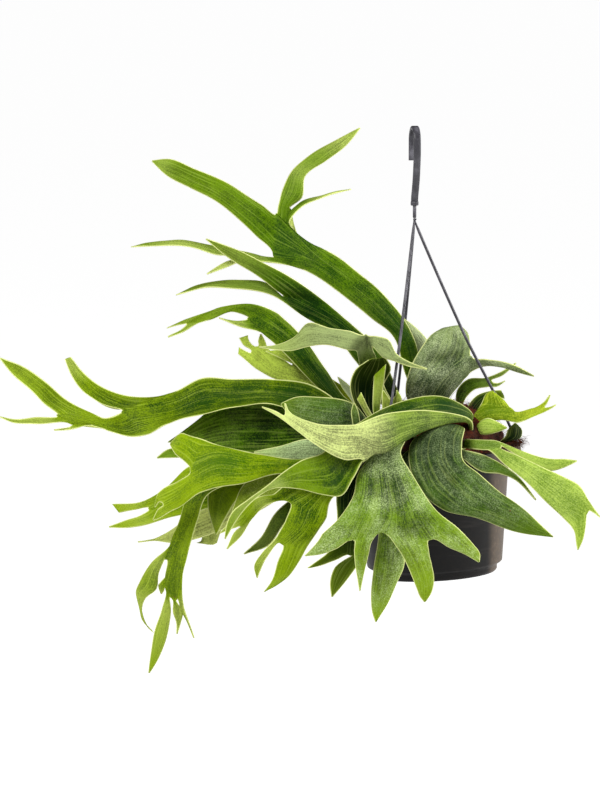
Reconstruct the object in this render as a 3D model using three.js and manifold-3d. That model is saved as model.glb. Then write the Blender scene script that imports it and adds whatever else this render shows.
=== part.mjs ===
// Staghorn fern in a hanging pot. Millimetres, +Z up, origin at the inner crown of the hook.
import * as THREE from 'three';
import Module from 'manifold-3d';

const wasm = await Module();
wasm.setup();

// ---- driving dimensions --------------------------------------------------
const GAP = 0.35;                 // clearance between neighbouring pieces
const TILT = 3.4 * Math.PI / 180; // the loaded pot leans, its right side higher
const RIM = new THREE.Vector3(13, 0, -287); // centre of the pot's rim
const POT_HEIGHT = 113;
const COLLAR_RADIUS = 84.5;       // at the skirt's lower edge
const COLLAR_TOP_RADIUS = 82.8;
const WALL_TOP_RADIUS = 73;
const WALL_FOOT_RADIUS = 61;
const FOOT_RADIUS = 56;
const FOOT_HEIGHT = 9;
const WALL = 1.8;
const COLLAR_SKIRT = 12;
const STRAND_ANGLES = { strand_right: -7, strand_front_left: -121, strand_back: 112 };
const STRAND_DIAMETER = 2.7;
const MOUND_RADIUS = 69;
const MOUND_HEIGHT = 42;
const MOUND_DEPTH = 20;           // how far the root ball goes down inside the pot
const HOOK_WIDTH = 6.3;
const HOOK_THICK = 3.4;
const HOOK_MOUTH_RADIUS = 10.5;
const HOOK_ARM = 28;              // how far the short arm comes down
const HOOK_BLOCK = 65;
const HOOK_NECK = 79;
const HOOK_YAW = 9 * Math.PI / 180;
const BLADE = 1.1;                // thickness of a frond's blade
const STALK_EXTRA = 0.9;          // a stalk is this much thicker where it leaves the soil

// ---- the sheet on which the fronds are drawn -----------------------------
// A point [a, b, y] is a squares to the right and b squares down on a sheet of 600 by 800
// squares, seen from SHEET_FAR in front and SHEET_RISE above the level; y is its depth in mm.
const SQUARE = 0.9;
const SHEET_FAR = 3600;
const SHEET_RISE = 6 * Math.PI / 180;
const SHEET_MIDDLE = new THREE.Vector3(-102.6, 0, -243);

function place(a, b, y) {
  const rise = -(b - 400) * SQUARE / SHEET_FAR;
  const cos = Math.cos(SHEET_RISE);
  const sin = Math.sin(SHEET_RISE);
  const z = (rise * (SHEET_FAR + y * cos) - y * sin) / (cos + rise * sin);
  const far = SHEET_FAR + y * cos - z * sin;
  const x = (a - 300) * SQUARE * far / SHEET_FAR;
  return new THREE.Vector3(x, y, z).add(SHEET_MIDDLE);
}

// ---- fronds ---------------------------------------------------------------
// Each frond is [tint, face, cup, ribbon]. A ribbon is [rows, notches, branches]. A row goes
// from the left edge to the right edge seen from the stalk: two points, or three when the
// middle has its own place, or one point for a tip. Where a ribbon forks, its branches share
// its last row between them, parted at the notches. A name with a slash is a branch that
// leaves the frond before the slash at an angle.
const FRONDS = {
"frond_tall": ["mid", 1, 0.10, [[
  [424,416,14, 438,414,16], [405,374,8, 422,372,14], [392,335,4, 414,338,10], [372,319,4, 388,299,8],
  [337,291,6, 355,270,10], [308,272,10, 330,252,14], [291,266,12, 303,243,16]],
  [[273,256,14], [276,213,22]],
  [[[[262,262,4, 262,256,18], [247,260,4, 247,252,18]],
    [[240,257,8]],
    [[[[228,267,2, 227,261,6], [207,274,2]]],
     [[[216,255,4, 214,246,18], [190,247,6, 190,241,18], [160,246,8, 160,241,16], [131,247,10]]]]],
   [[[256,236,18, 262,205,24], [238,219,20, 248,196,25], [217,202,22, 224,181,26], [190,188,24, 195,169,28],
     [167,176,26, 170,159,30], [152,161,30]]],
   [[[278,206,22, 294,230,18]],
    [[291,209,22]],
    [[[[283,188,26, 302,198,24], [291,172,28, 305,177,27], [307,157,30, 326,161,30], [332,142,36, 345,147,35],
       [360,128,42]]],
     [[[292,213,26, 289,223,8], [300,204,26, 302,207,8], [325,195,22, 325,197,12], [351,189,18]]]]]]]],
"frond_tall_back": ["grey", -1, 0.06, [[
  [440,416,30, 452,414,32], [424,380,24, 440,375,26], [409,346,20, 426,338,22], [403,328,19, 413,325,20],
  [401,317,19]]]],
"frond_high_left": ["dark", 1, 0.10, [[
  [398,414,-6, 408,412,-4], [380,392,-8, 396,386,-6], [356,362,-6, 378,349,-4], [333,334,-2, 350,323,2],
  [306,318,2, 328,304,6]],
  [[282,296,4]],
  [[[[268,294,0, 266,283,8], [236,289,-2, 236,280,8], [205,288,-2, 205,283,6], [176,295,0]]],
   [[[273,288,-2, 292,278,0], [253,273,-6, 268,265,-4], [231,260,-8, 238,250,-6], [206,239,-7]]]]]],
"frond_arched": ["mid", 1, 0.12, [[
  [368,430,-18, 378,427,-16], [347,413,-18, 361,409,-14], [329,399,-19, 346,398,-15], [303,373,-22, 325,368,-18],
  [278,347,-20, 299,333,-16], [262,333,-18, 279,314,-14]],
  [[247,318,-16]],
  [[[[240,327,-20, 240,321,-16], [219,318,-18]]],
   [[[234,312,-18, 251,304,-14], [210,320,-18, 222,307,-14], [199,323,-18, 204,313,-14]],
    [[186,324,-16]],
    [[[[184,332,-18, 183,328,-16], [168,337,-18]]],
     [[[180,325,-15, 182,321,-13], [167,328,-14]]]]]]]],
"frond_arched_small": ["grey", -1, 0.05, [[
  [366,430,3, 374,428,3], [351,400,-8, 359,400,-7], [341,386,-9, 350,386,-8], [338,377,-8]]]],
"frond_ragged": ["light", -1, 0.08, [[
  [378,424,8, 388,418,10], [342,402,3, 352,392,6], [304,386,-6, 318,370,-2]],
  [[292,364,-2]],
  [[[[272,378,-6, 279,356,-2], [256,369,-6, 268,349,-2]],
    [[251,352,-4], [258,346,-3]],
    [[[[243,358,-6, 244,350,-5], [238,354,-6, 239,347,-5]]],
     [[[243,345,-5, 248,338,-4], [239,338,-5, 248,335,-4]]],
     [[[258,341,-4, 266,343,-3], [261,334,-4]]]]],
   [[[280,358,-10, 292,351,-8], [266,351,-10]]]]]],
"frond_wavy": ["grey", -1, 0.06, [[
  [400,425,-22, 410,424,-22], [372,392,-22, 386,390,-20], [360,366,-22, 378,362,-22], [357,352,-32, 373,350,-32]],
  [[366,334,-44]],
  [[[[347,350,-50, 350,331,-46], [326,345,-52, 330,328,-46], [307,347,-50, 308,323,-44], [291,351,-48, 294,337,-44],
     [275,350,-46, 276,345,-44], [259,347,-44]]],
   [[[376,336,-52, 374,348,-52], [388,339,-54, 384,358,-54], [397,354,-56, 393,361,-56], [408,361,-56, 407,366,-56],
     [427,369,-58]]]]]],
"frond_long_left": ["dark", 1, -0.22, [[
  [366,448,-28, 372,443,-24], [334,424,-38, 345,408,-30], [302,413,-44, 312,385,-26], [270,404,-48, 270,379,-26],
  [230,408,-50, 232,379,-26], [200,415,-52, 202,378,-28], [172,422,-52, 178,390,-30], [150,434,-52, 168,394,-30]],
  [[121,412,-40]],
  [[[[132,437,-52, 118,414,-42], [110,431,-52, 106,418,-44], [92,425,-50, 90,412,-40]],
    [[72,425,-46], [56,415,-44]],
    [[[[70,430,-50, 69,427,-49], [54,430,-50]]],
     [[[35,424,-48, 35,417,-42], [16,423,-47, 15,419,-44], [0,417,-46]]],
     [[[43,403,-44, 64,398,-40], [33,392,-43, 46,382,-38], [15,377,-42, 24,367,-38], [0,358,-42]]]]],
   [[[103,404,-34, 145,397,-22], [92,398,-32, 120,394,-20], [83,391,-30, 99,385,-20], [71,375,-28, 83,372,-20],
     [65,359,-26, 71,357,-24]]]]]],
"frond_dark_left": ["dark", 1, 0.06, [[
  [384,430,-6, 386,422,-4], [360,434,-10, 360,422,-7], [335,440,-18, 335,418,-8], [300,455,-26, 300,406,-10], [262,462,-30, 262,398,-14],
  [225,462,-34, 222,400,-18], [200,458,-38, 201,417,-24]],
  [[172,447,-38]],
  [[[[172,458,-42, 166,450,-40], [157,458,-42]]],
   [[[175,443,-36, 183,431,-32], [168,442,-36]]]]]],
"frond_inner_left": ["grey", 1, 0.10, [[
  [376,448,-40, 380,441,-37], [345,438,-56, 350,402,-48], [318,434,-60, 318,397,-52], [296,424,-60, 296,397,-54],
  [281,404,-56]]]],
"frond_inner_left/strip": ["grey", -1, 0.05, [[
  [350,432,-44, 352,422,-42], [332,458,-64, 334,440,-61], [298,461,-68, 306,439,-62], [275,458,-68, 280,446,-64],
  [254,452,-66]]]],
"frond_inner_left/shield": ["yellow", 1, 0.08, [[
  [354,432,-46, 362,432,-44], [352,421,-56, 360,421,-54], [351,411,-56, 358,410,-56], [354,403,-56]]]],
"frond_broad_left": ["light", 1, 0.12, [[
  [398,442,-53, 400,433,-49], [368,450,-67, 370,440,-62], [338,461,-76, 341,449,-72], [300,472,-86, 305,459,-80], [272,475,-92, 276,457,-84],
  [241,484,-98, 249,452,-88], [215,488,-102, 215,444,-90], [200,493,-104, 202,439,-92]],
  [[190,470,-102]],
  [[[[178,508,-108, 180,480,-106], [170,512,-110, 167,486,-108]],
    [[163,504,-110]],
    [[[[160,518,-112, 158,509,-111], [153,520,-112]]],
     [[[160,502,-110, 158,493,-109], [155,507,-110]]]]],
   [[[185,462,-100, 191,436,-92], [175,454,-100, 181,433,-94], [170,444,-98]]]]]],
"frond_left_twin": ["light", 1, 0.08, [[
  [388,441,-20, 390,433,-17], [350,453,-22, 350,443,-18], [322,468,-36, 320,454,-30], [280,482,-40, 280,464,-32], [230,500,-47, 230,468,-38],
  [196,512,-54, 192,465,-44], [172,517,-58, 167,487,-50]],
  [[148,509,-56]],
  [[[[142,526,-60, 141,515,-58], [128,528,-61, 126,520,-59], [109,527,-62]]],
   [[[134,510,-57, 140,502,-55], [119,513,-58, 112,504,-56]]]]]],
"frond_left_thin": ["light", -1, 0.06, [[
  [390,424,-2, 392,416,1], [350,447,-8, 350,437,-4], [322,464,-12, 320,450,-8], [286,494,-14, 284,478,-10], [230,526,-20, 222,502,-16], [200,538,-24, 190,516,-20],
  [172,543,-26, 166,533,-22], [154,541,-26, 153,539,-24], [138,542,-26]]]],
"frond_left_thin/wedge": ["light", -1, 0.05, [[
  [322,458,-12, 322,450,-8], [306,476,-2, 304,462,0], [280,492,-4, 276,478,0], [250,505,-8, 242,492,-4], [226,520,-12, 209,514,-8],
  [220,534,-14, 205,529,-12], [217,543,-15, 201,541,-14]], [], [[[[197,543,-15]]]]]],
"frond_drooping": ["mid", 1, 0.16, [[
  [382,440,-28, 384,432,-25], [350,450,-46, 348,438,-42], [300,466,-60, 300,452,-54], [236,482,-72, 230,464,-64], [206,497,-80, 189,492,-74],
  [198,519,-84, 180,518,-80], [190,546,-86, 170,545,-82]],
  [[165,560,-84]],
  [[[[183,573,-88, 165,577,-84]],
    [[177,600,-88], [171,598,-86], [165,588,-84]],
    [[[[184,606,-90, 181,609,-88], [190,624,-90, 188,625,-88], [194,638,-90]]],
     [[[183,612,-88, 173,613,-88], [181,622,-88, 176,622,-88], [177,634,-88]]],
     [[[171,612,-86, 162,608,-86], [167,636,-86, 154,633,-88], [158,660,-88, 150,659,-88], [149,673,-88]]],
     [[[164,591,-82, 158,585,-82], [161,594,-82]]]]],
   [[[159,573,-82, 152,562,-80], [156,590,-84, 139,583,-80], [146,598,-84, 136,590,-82], [142,611,-82, 139,605,-82],
     [147,625,-82, 142,620,-82], [153,632,-82]]]]]],
"frond_drooping/hanging": ["mid", 1, 0.08, [[
  [338,454,-54, 338,446,-52], [322,464,-46, 322,454,-44], [305,474,-50, 305,462,-46], [255,490,-64, 248,474,-56], [237,500,-68, 210,486,-60],
  [229,512,-70, 208,506,-64], [221,527,-70, 212,524,-66], [216,535,-68]]]],
"frond_curled": ["light", 1, 0, [[
  [473,435,-40, 470,434,-37, 471,427,-32], [471,420,-62, 467,422,-60, 472,413,-49],
  [436,411,-84, 434,427,-86, 445,397,-60], [404,411,-108, 402,442,-112, 406,400,-78],
  [380,415,-120, 382,453,-124, 380,410,-90], [358,424,-126, 366,462,-130, 350,428,-98]],
  [[364,462,-130]],
  [[[[338,425,-128, 345,460,-134], [319,424,-128, 316,445,-134], [302,419,-126, 292,427,-130]],
    [[284,415,-126]],
    [[[[289,411,-124, 285,411,-124], [285,403,-122]]],
     [[[276,411,-126, 277,416,-127], [262,407,-124]]]]],
   [[[354,477,-128, 335,440,-104], [341,496,-124, 322,453,-108], [324,495,-118, 302,460,-110],
     [298,489,-114, 286,470,-110], [272,489,-112, 265,487,-112], [251,503,-112, 247,500,-112],
     [239,517,-112, 232,512,-112], [231,530,-112, 226,526,-112], [225,539,-112]]]]]],
"frond_low_left": ["mid", 1, 0.10, [[
  [388,455,-52, 379,454,-51], [365,461,-92, 350,451,-87], [345,487,-104, 315,468,-98], [330,502,-106, 286,484,-100],
  [327,517,-106, 274,494,-98]],
  [[289,502,-104]],
  [[[[318,531,-106, 286,519,-104], [308,546,-104, 277,536,-102]],
    [[281,544,-102]],
    [[[[300,560,-102, 277,563,-102], [289,576,-100, 271,582,-100], [264,592,-100]]],
     [[[268,556,-100, 262,553,-98], [260,572,-100, 254,567,-98], [257,578,-100]]]]],
   [[[264,507,-100, 258,497,-98], [252,519,-98, 247,505,-98]],
    [[240,527,-98]],
    [[[[242,535,-96, 236,530,-96], [227,549,-94]]],
     [[[235,528,-98, 234,518,-98], [220,533,-98]]]]]]]],
"frond_low_left/grey": ["grey", 1, 0.05, [[
  [346,476,-100, 344,466,-98], [334,480,-90, 330,470,-86], [318,486,-86, 312,474,-78], [290,494,-88, 270,470,-80], [262,505,-88, 244,484,-82],
  [232,512,-86]]]],
"frond_low_left/dark": ["dark", 1, 0.06, [[
  [332,492,-108, 322,484,-108], [318,502,-98, 306,490,-94], [286,522,-92, 276,512,-90],
  [268,546,-90, 260,538,-88], [244,554,-88]]]],
"frond_front": ["mid", 1, 0.12, [[
  [422,437,-48, 410,436,-48], [405,442,-96, 384,440,-96], [401,455,-112, 368,459,-112], [411,472,-118, 358,474,-118],
  [423,492,-120, 353,496,-120], [438,512,-122, 340,517,-120], [456,526,-122, 322,534,-120]],
  [[430,540,-124], [381,532,-124], [353,540,-124]],
  [[[[473,544,-122, 450,548,-124], [480,554,-122, 466,555,-123], [479,562,-122]]],
   [[[429,552,-125, 398,549,-125], [432,565,-126, 408,567,-126], [434,580,-126, 416,587,-126],
     [431,594,-126, 420,597,-126], [425,602,-126]]],
   [[[372,541,-124, 354,551,-124], [369,553,-124, 355,563,-124], [364,573,-124, 357,577,-124], [360,591,-124]]],
   [[[338,548,-122, 320,538,-121], [322,554,-122, 311,549,-121], [305,556,-122]]]]]],
"frond_front_right": ["grey", 1, 0.14, [[
  [447,441,-50, 435,441,-50], [464,428,-70, 436,429,-72], [462,444,-93, 411,443,-92], [463,460,-102, 409,463,-105],
  [478,473,-106, 422,493,-110], [500,492,-106, 444,510,-110], [524,509,-104, 478,518,-107], [537,521,-102, 512,531,-103],
  [553,537,-100]]]],
"frond_under_front": ["dark", 1, 0.08, [[
  [411,452,-60, 403,452,-60], [394,466,-99, 374,462,-97], [374,495,-112, 338,488,-108], [370,525,-112, 337,518,-109],
  [366,548,-110, 336,541,-108]],
  [[351,556,-110]],
  [[[[357,566,-110, 335,567,-110], [346,581,-110, 330,581,-110], [332,597,-110]]],
   [[[336,560,-108, 329,551,-108], [320,566,-108, 314,563,-108], [308,568,-108]]]]]],
"frond_under_grey": ["grey", 1, 0.10, [[
  [430,448,-61, 421,448,-61], [424,456,-92, 404,454,-92], [412,478,-102, 388,476,-102], [406,510,-102, 380,508,-102],
  [404,540,-98, 378,540,-98], [404,566,-94, 373,572,-94], [396,585,-92, 371,600,-92], [388,603,-92, 372,612,-92],
  [376,622,-92]]]],
"frond_right_low": ["light", 1, 0.10, [[
  [458,436,-39, 455,443,-42], [468,439,-58, 465,448,-64], [494,440,-76, 488,450,-82]],
  [[502,447,-80]],
  [[[[522,451,-76, 518,456,-80], [552,459,-78, 553,471,-82], [566,459,-80, 566,467,-83], [577,461,-82]]],
   [[[517,455,-92, 505,465,-94], [540,466,-98, 524,480,-100], [564,477,-104, 545,501,-104],
     [580,486,-108, 560,515,-106], [588,499,-110, 570,525,-108]],
    [[589,511,-110]],
    [[[[594,508,-110, 592,512,-110], [600,517,-110]]],
     [[[586,525,-110, 574,531,-109], [583,540,-110, 576,543,-109], [578,550,-109]]]]]]]],
"frond_right_dark": ["dark", 1, 0.08, [[
  [467,448,-52, 463,453,-54], [464,450,-84, 462,458,-92], [484,455,-84, 482,472,-92], [503,465,-82, 500,474,-86],
  [517,475,-80, 513,479,-82], [536,500,-80]]]],
"frond_upright_grey": ["grey", 1, 0.12, [[
  [424,414,0, 440,412,4], [406,396,-12, 451,395,8], [406,383,-16, 461,383,10], [411,366,-18, 470,373,12]],
  [[472,356,8]],
  [[[[421,348,-16, 470,344,8], [431,335,-10, 468,333,10], [441,329,-2, 460,325,8]]],
   [[[486,359,8, 487,366,12], [500,361,6, 500,367,10], [515,365,4, 516,372,8], [534,376,4]]]]]],
"frond_right_thin": ["dark", 1, 0.05, [[
  [456,412,20, 460,420,20], [458,388,22, 466,398,22], [468,379,24, 474,390,24], [484,378,24, 489,387,24]],
  [[492,381,24]],
  [[[[500,372,24, 502,376,24], [516,363,24]]],
   [[[497,383,25, 496,387,25], [505,381,26]]]]]],
"frond_young_yellow": ["yellow", 1, 0.18, [[
  [464,432,-14, 470,436,-16], [470,420,-22, 478,426,-28], [479,408,-26, 500,420,-38], [482,402,-26, 517,423,-42]],
  [[513,409,-38]],
  [[[[486,394,-24, 505,401,-32], [493,391,-26]]],
   [[[534,408,-40, 533,417,-44]],
    [[545,407,-42]],
    [[[[544,402,-41, 547,404,-42], [550,395,-42]]],
     [[[549,407,-43, 549,410,-44], [556,405,-44]]]]]]]],
"frond_young_pale": ["light", 1, 0.12, [[
  [478,438,-22, 474,444,-24], [481,421,-38, 477,435,-41], [488,418,-42, 485,435,-44], [498,422,-44, 495,433,-46],
  [507,428,-45]]]],
"frond_young_dark": ["dark", 1, 0.06, [[
  [466,424,2, 474,426,2], [467,408,4, 480,410,2], [476,396,6, 488,402,4], [490,391,8, 497,398,6], [501,390,10, 505,399,8]]]],
"shield_right": ["dark", 1, 0.20, [[
  [490,448,-25, 498,448,-24], [500,441,-27, 508,441,-25], [506,435,-27, 521,437,-20], [507,431,-26, 522,431,-18], [515,423,-22]]]],
"shield_inner": ["dark", 1, -0.10, [[
  [374,437,-35, 383,435,-35], [355,406,-34, 378,404,-32], [350,384,-36, 384,384,-32], [356,369,-38, 391,367,-36],
  [368,360,-40, 386,358,-38]]]],
"cut_stalk_tall": ["light", 1, 0.10, [[
  [382,443,-43, 389,443,-43], [373,412,-46, 380,412,-46], [373,390,-44, 383,390,-44], [374,376,-42, 386,364,-42]]]],
"cut_stalk_tall/short": ["light", -1, 0.10, [[
  [378,430,-42, 384,428,-42], [366,415,-49, 372,414,-49], [357,399,-50, 361,392,-50]]]],
"shield_front": ["yellow", 1, 0.08, [[
  [392,437,-44, 401,437,-44], [382,408,-46, 402,406,-46]],
  [[391,399,-46]],
  [[[[382,397,-46, 388,396,-46], [383,390,-46]]],
   [[[395,396,-46, 402,399,-46], [397,390,-46]]]]]],
"frond_back_drooping": ["mid", 1, 0.10, [[
  [416,428,46, 430,428,46], [408,414,84, 440,414,84], [402,440,112, 446,440,112], [396,474,124, 452,474,124],
  [388,500,130, 458,500,130]],
  [[422,512,132]],
  [[[[392,530,132, 412,532,132], [400,552,132]]],
   [[[430,535,130, 452,530,130], [446,558,128]]]]]],
"frond_back_left": ["mid", 1, 0.10, [[
  [394,434,44, 396,427,47], [366,440,74, 364,420,84], [330,452,98, 326,424,108], [300,462,112, 296,432,122]],
  [[286,450,120]],
  [[[[276,470,116, 272,462,118], [254,474,118]]],
   [[[270,446,124, 270,438,126], [248,440,126]]]]]],
"frond_back_right": ["mid", 1, 0.10, [[
  [462,430,40, 460,440,40], [480,426,64, 470,430,66], [488,450,94, 472,455,96], [496,484,104, 464,488,108]],
  [[478,504,110]],
  [[[[492,508,108, 486,512,110], [490,532,110]]],
   [[[470,512,112, 460,508,112], [462,538,112]]]]]],
"frond_back_small": ["grey", 1, 0.08, [[
  [440,424,36, 450,426,36], [446,406,62, 462,408,62], [452,414,88, 466,418,88], [458,440,104, 470,442,104],
  [464,464,110]]]]
};

const TINTS = {
  dark: [0x2f5a14, 0.6],
  mid: [0x567f1c, 0.6],
  light: [0x84a032, 0.62],
  grey: [0x7f9678, 0.75],
  yellow: [0xa6b93a, 0.6],
};
const COLUMNS_PER_TIP = 2;
const LONG_STEP = 36;             // longer stretches between rows are halved

// ---- closed meshes and solids --------------------------------------------
function solidOf(geometry) {
  const source = geometry.index ? geometry.toNonIndexed() : geometry;
  const at = source.attributes.position;
  const seen = new Map();
  const points = [];
  const corners = [];
  for (let i = 0; i < at.count; i += 1) {
    const key = [at.getX(i), at.getY(i), at.getZ(i)].map((v) => Math.round(v * 1e4)).join();
    if (!seen.has(key)) {
      seen.set(key, points.length / 3);
      points.push(at.getX(i), at.getY(i), at.getZ(i));
    }
    corners.push(seen.get(key));
  }
  const faces = [];
  for (let i = 0; i < corners.length; i += 3) {
    const [p, q, r] = corners.slice(i, i + 3);
    if (p !== q && q !== r && r !== p) faces.push(p, q, r);
  }
  return new wasm.Manifold(new wasm.Mesh({
    numProp: 3,
    vertProperties: new Float32Array(points),
    triVerts: new Uint32Array(faces),
  }));
}

function geometryOf(solid) {
  const mesh = solid.getMesh();
  const geometry = new THREE.BufferGeometry();
  geometry.setAttribute('position', new THREE.BufferAttribute(new Float32Array(mesh.vertProperties), 3));
  geometry.setIndex(new THREE.BufferAttribute(new Uint32Array(mesh.triVerts), 1));
  return geometry;
}

const group = new THREE.Group();
group.name = 'staghorn_fern_in_hanging_pot';

function addPiece(name, geometry, colour, roughness) {
  const flat = geometry.index ? geometry.toNonIndexed() : geometry;
  flat.computeVertexNormals();
  const material = new THREE.MeshStandardMaterial({ color: colour, roughness, metalness: 0 });
  material.name = name;
  const mesh = new THREE.Mesh(flat, material);
  mesh.name = name;
  group.add(mesh);
}

// ---- blade surface --------------------------------------------------------
function cross3(a, b) {
  return new THREE.Vector3().crossVectors(a, b);
}

function rowPoints(row) {
  const points = [];
  for (let i = 0; i < row.length; i += 3) points.push(place(row[i], row[i + 1], row[i + 2]));
  return points;
}

function tipCount(ribbon) {
  return ribbon[2] ? ribbon[2].reduce((sum, branch) => sum + tipCount(branch), 0) : 1;
}

// The columns of one row: a parabola over the row's edges and middle.
function spreadRow(points, columns, ahead, cup) {
  const left = points[0];
  const right = points[points.length - 1];
  const middle = left.clone().add(right).multiplyScalar(0.5);
  const half = right.clone().sub(left).multiplyScalar(0.5);
  let bulge = new THREE.Vector3();
  if (points.length === 3) {
    bulge = points[1].clone().sub(middle);
  } else if (cup !== 0 && half.lengthSq() > 0) {
    bulge = cross3(half, ahead).normalize().multiplyScalar(2 * cup * half.length());
  }
  const out = [];
  for (let j = 0; j <= columns; j += 1) {
    const u = 2 * j / columns - 1;
    out.push(middle.clone().addScaledVector(half, u).addScaledVector(bulge, 1 - u * u));
  }
  return out;
}

// The last row of a forking ribbon runs straight from notch to notch.
function forkRow(points, notches, shares) {
  const stops = [points[0], ...notches.map((notch) => place(...notch)), points[points.length - 1]];
  const out = [stops[0].clone()];
  shares.forEach((columns, k) => {
    for (let j = 1; j <= columns; j += 1) out.push(stops[k].clone().lerp(stops[k + 1], j / columns));
  });
  return out;
}

function keyRows(ribbon, columns, cup, first) {
  const plain = ribbon[0].map(rowPoints);
  const centres = plain.map((p) => p[0].clone().add(p[p.length - 1]).multiplyScalar(0.5));
  const branches = ribbon[2] || [];
  const shares = branches.map((branch) => COLUMNS_PER_TIP * tipCount(branch));
  const start = first ? first[0].clone().add(first[first.length - 1]).multiplyScalar(0.5) : null;
  const rows = first ? [first] : [];
  let across = first ? first[first.length - 1].clone().sub(first[0]) : new THREE.Vector3(1, 0, 0);
  plain.forEach((points, k) => {
    const before = k > 0 ? centres[k - 1] : start;
    const ahead = (centres[k + 1] || centres[k]).clone().sub(before || centres[k]);
    if (branches.length > 1 && k === plain.length - 1) {
      rows.push(forkRow(points, ribbon[1], shares));
    } else if (points.length === 1) {
      const side = across.clone().normalize().multiplyScalar(0.7);
      rows.push(spreadRow([points[0].clone().sub(side), points[0].clone().add(side)], columns, ahead, 0));
    } else {
      rows.push(spreadRow(points, columns, ahead, cup));
    }
    if (points.length > 1) across = points[points.length - 1].clone().sub(points[0]);
  });
  return rows;
}

// Tangent of a column at row k, for a curve through points of uneven spacing.
function tangent(before, here, after, span) {
  if (!before) return after.clone().sub(here);
  if (!after) return here.clone().sub(before);
  const back = Math.max(here.distanceTo(before), 1e-3);
  const on = Math.max(after.distanceTo(here), 1e-3);
  const out = here.clone().sub(before).multiplyScalar(on / back);
  out.add(after.clone().sub(here).multiplyScalar(back / on));
  return out.multiplyScalar(span / (back + on));
}

function hermite(p, q, m, n, t) {
  const out = p.clone().multiplyScalar(1 - 3 * t * t + 2 * t * t * t);
  out.addScaledVector(q, 3 * t * t - 2 * t * t * t);
  out.addScaledVector(m, t - 2 * t * t + t * t * t);
  return out.addScaledVector(n, t * t * t - t * t);
}

function stepsAfter(rows, k, branch) {
  const middle = Math.floor(rows[k].length / 2);
  const long = rows[k][middle].distanceTo(rows[k + 1][middle]) > LONG_STEP;
  return long || (branch && k === 0) ? 2 : 1;
}

// Fills sheet = { points, quads } with a ribbon and its branches.
function growRibbon(sheet, ribbon, cup, parent) {
  const columns = COLUMNS_PER_TIP * tipCount(ribbon);
  const rows = keyRows(ribbon, columns, cup, parent ? parent.row : null);
  const before = parent ? [parent.behind, ...rows] : [null, ...rows];
  let last = parent ? parent.ids : rows[0].map((point) => sheet.points.push(point) - 1);
  for (let k = 0; k + 1 < rows.length; k += 1) {
    const steps = stepsAfter(rows, k, Boolean(parent));
    for (let s = 1; s <= steps; s += 1) {
      const t = s / steps;
      const ids = rows[k].map((here, j) => {
        const next = rows[k + 1][j];
        const span = next.distanceTo(here);
        const back = before[k] ? before[k][j] : null;
        const m = tangent(back, here, next, span);
        const n = tangent(here, next, rows[k + 2] ? rows[k + 2][j] : null, span);
        if (k === 0 && parent && parent.inner) {
          const reach = [parent.inner[0] ? 1 - j / columns : 0, parent.inner[1] ? j / columns : 0];
          const side = rows[0][columns].clone().sub(rows[0][0]).normalize().multiplyScalar(span);
          const weight = [reach[0] ** 3, reach[1] ** 3];
          m.multiplyScalar(1 - Math.max(...weight)).addScaledVector(side, weight[0] - weight[1]);
        }
        return sheet.points.push(hermite(here, next, m, n, t)) - 1;
      });
      for (let j = 0; j < columns; j += 1) sheet.quads.push([last[j], last[j + 1], ids[j + 1], ids[j]]);
      last = ids;
    }
  }
  const branches = ribbon[2] || [];
  let from = 0;
  branches.forEach((branch, b) => {
    const to = from + COLUMNS_PER_TIP * tipCount(branch);
    growRibbon(sheet, branch, cup, {
      row: rows[rows.length - 1].slice(from, to + 1),
      behind: rows[rows.length - 2].slice(from, to + 1),
      ids: last.slice(from, to + 1),
      inner: [b > 0, b < branches.length - 1],
    });
    from = to;
  });
}

// Gives a sheet its thickness: both faces and the wall round every free edge.
function thicken(sheet, thickness) {
  const normals = sheet.points.map(() => new THREE.Vector3());
  const triangles = [];
  sheet.quads.forEach(([p, q, r, s]) => triangles.push([p, q, r], [p, r, s]));
  triangles.forEach((tri) => {
    const [p, q, r] = tri.map((i) => sheet.points[i]);
    const normal = cross3(q.clone().sub(p), r.clone().sub(p));
    tri.forEach((i) => normals[i].add(normal));
  });
  const count = sheet.points.length;
  const points = [];
  [0.5, -0.5].forEach((side) => sheet.points.forEach((point, i) => {
    const push = normals[i].clone().normalize().multiplyScalar(side * thickness(point));
    points.push(point.clone().add(push));
  }));
  const faces = [];
  const edges = new Map();
  triangles.forEach((tri) => {
    faces.push(tri, [tri[2] + count, tri[1] + count, tri[0] + count]);
    tri.forEach((from, k) => edges.set(from + '>' + tri[(k + 1) % 3], [from, tri[(k + 1) % 3]]));
  });
  edges.forEach(([from, to]) => {
    if (edges.has(to + '>' + from)) return;
    faces.push([from + count, to, from], [from + count, to + count, to]);
  });
  const flat = new Float32Array(faces.length * 9);
  faces.flat().forEach((index, k) => points[index].toArray(flat, 3 * k));
  const geometry = new THREE.BufferGeometry();
  geometry.setAttribute('position', new THREE.BufferAttribute(flat, 3));
  return geometry;
}

function bladeThickness(foot) {
  return (point) => BLADE + STALK_EXTRA * Math.max(0, 1 - point.distanceTo(foot) / 40);
}

function growFrond(ribbon, cup) {
  const sheet = { points: [], quads: [] };
  growRibbon(sheet, ribbon, cup, null);
  return sheet;
}

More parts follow.
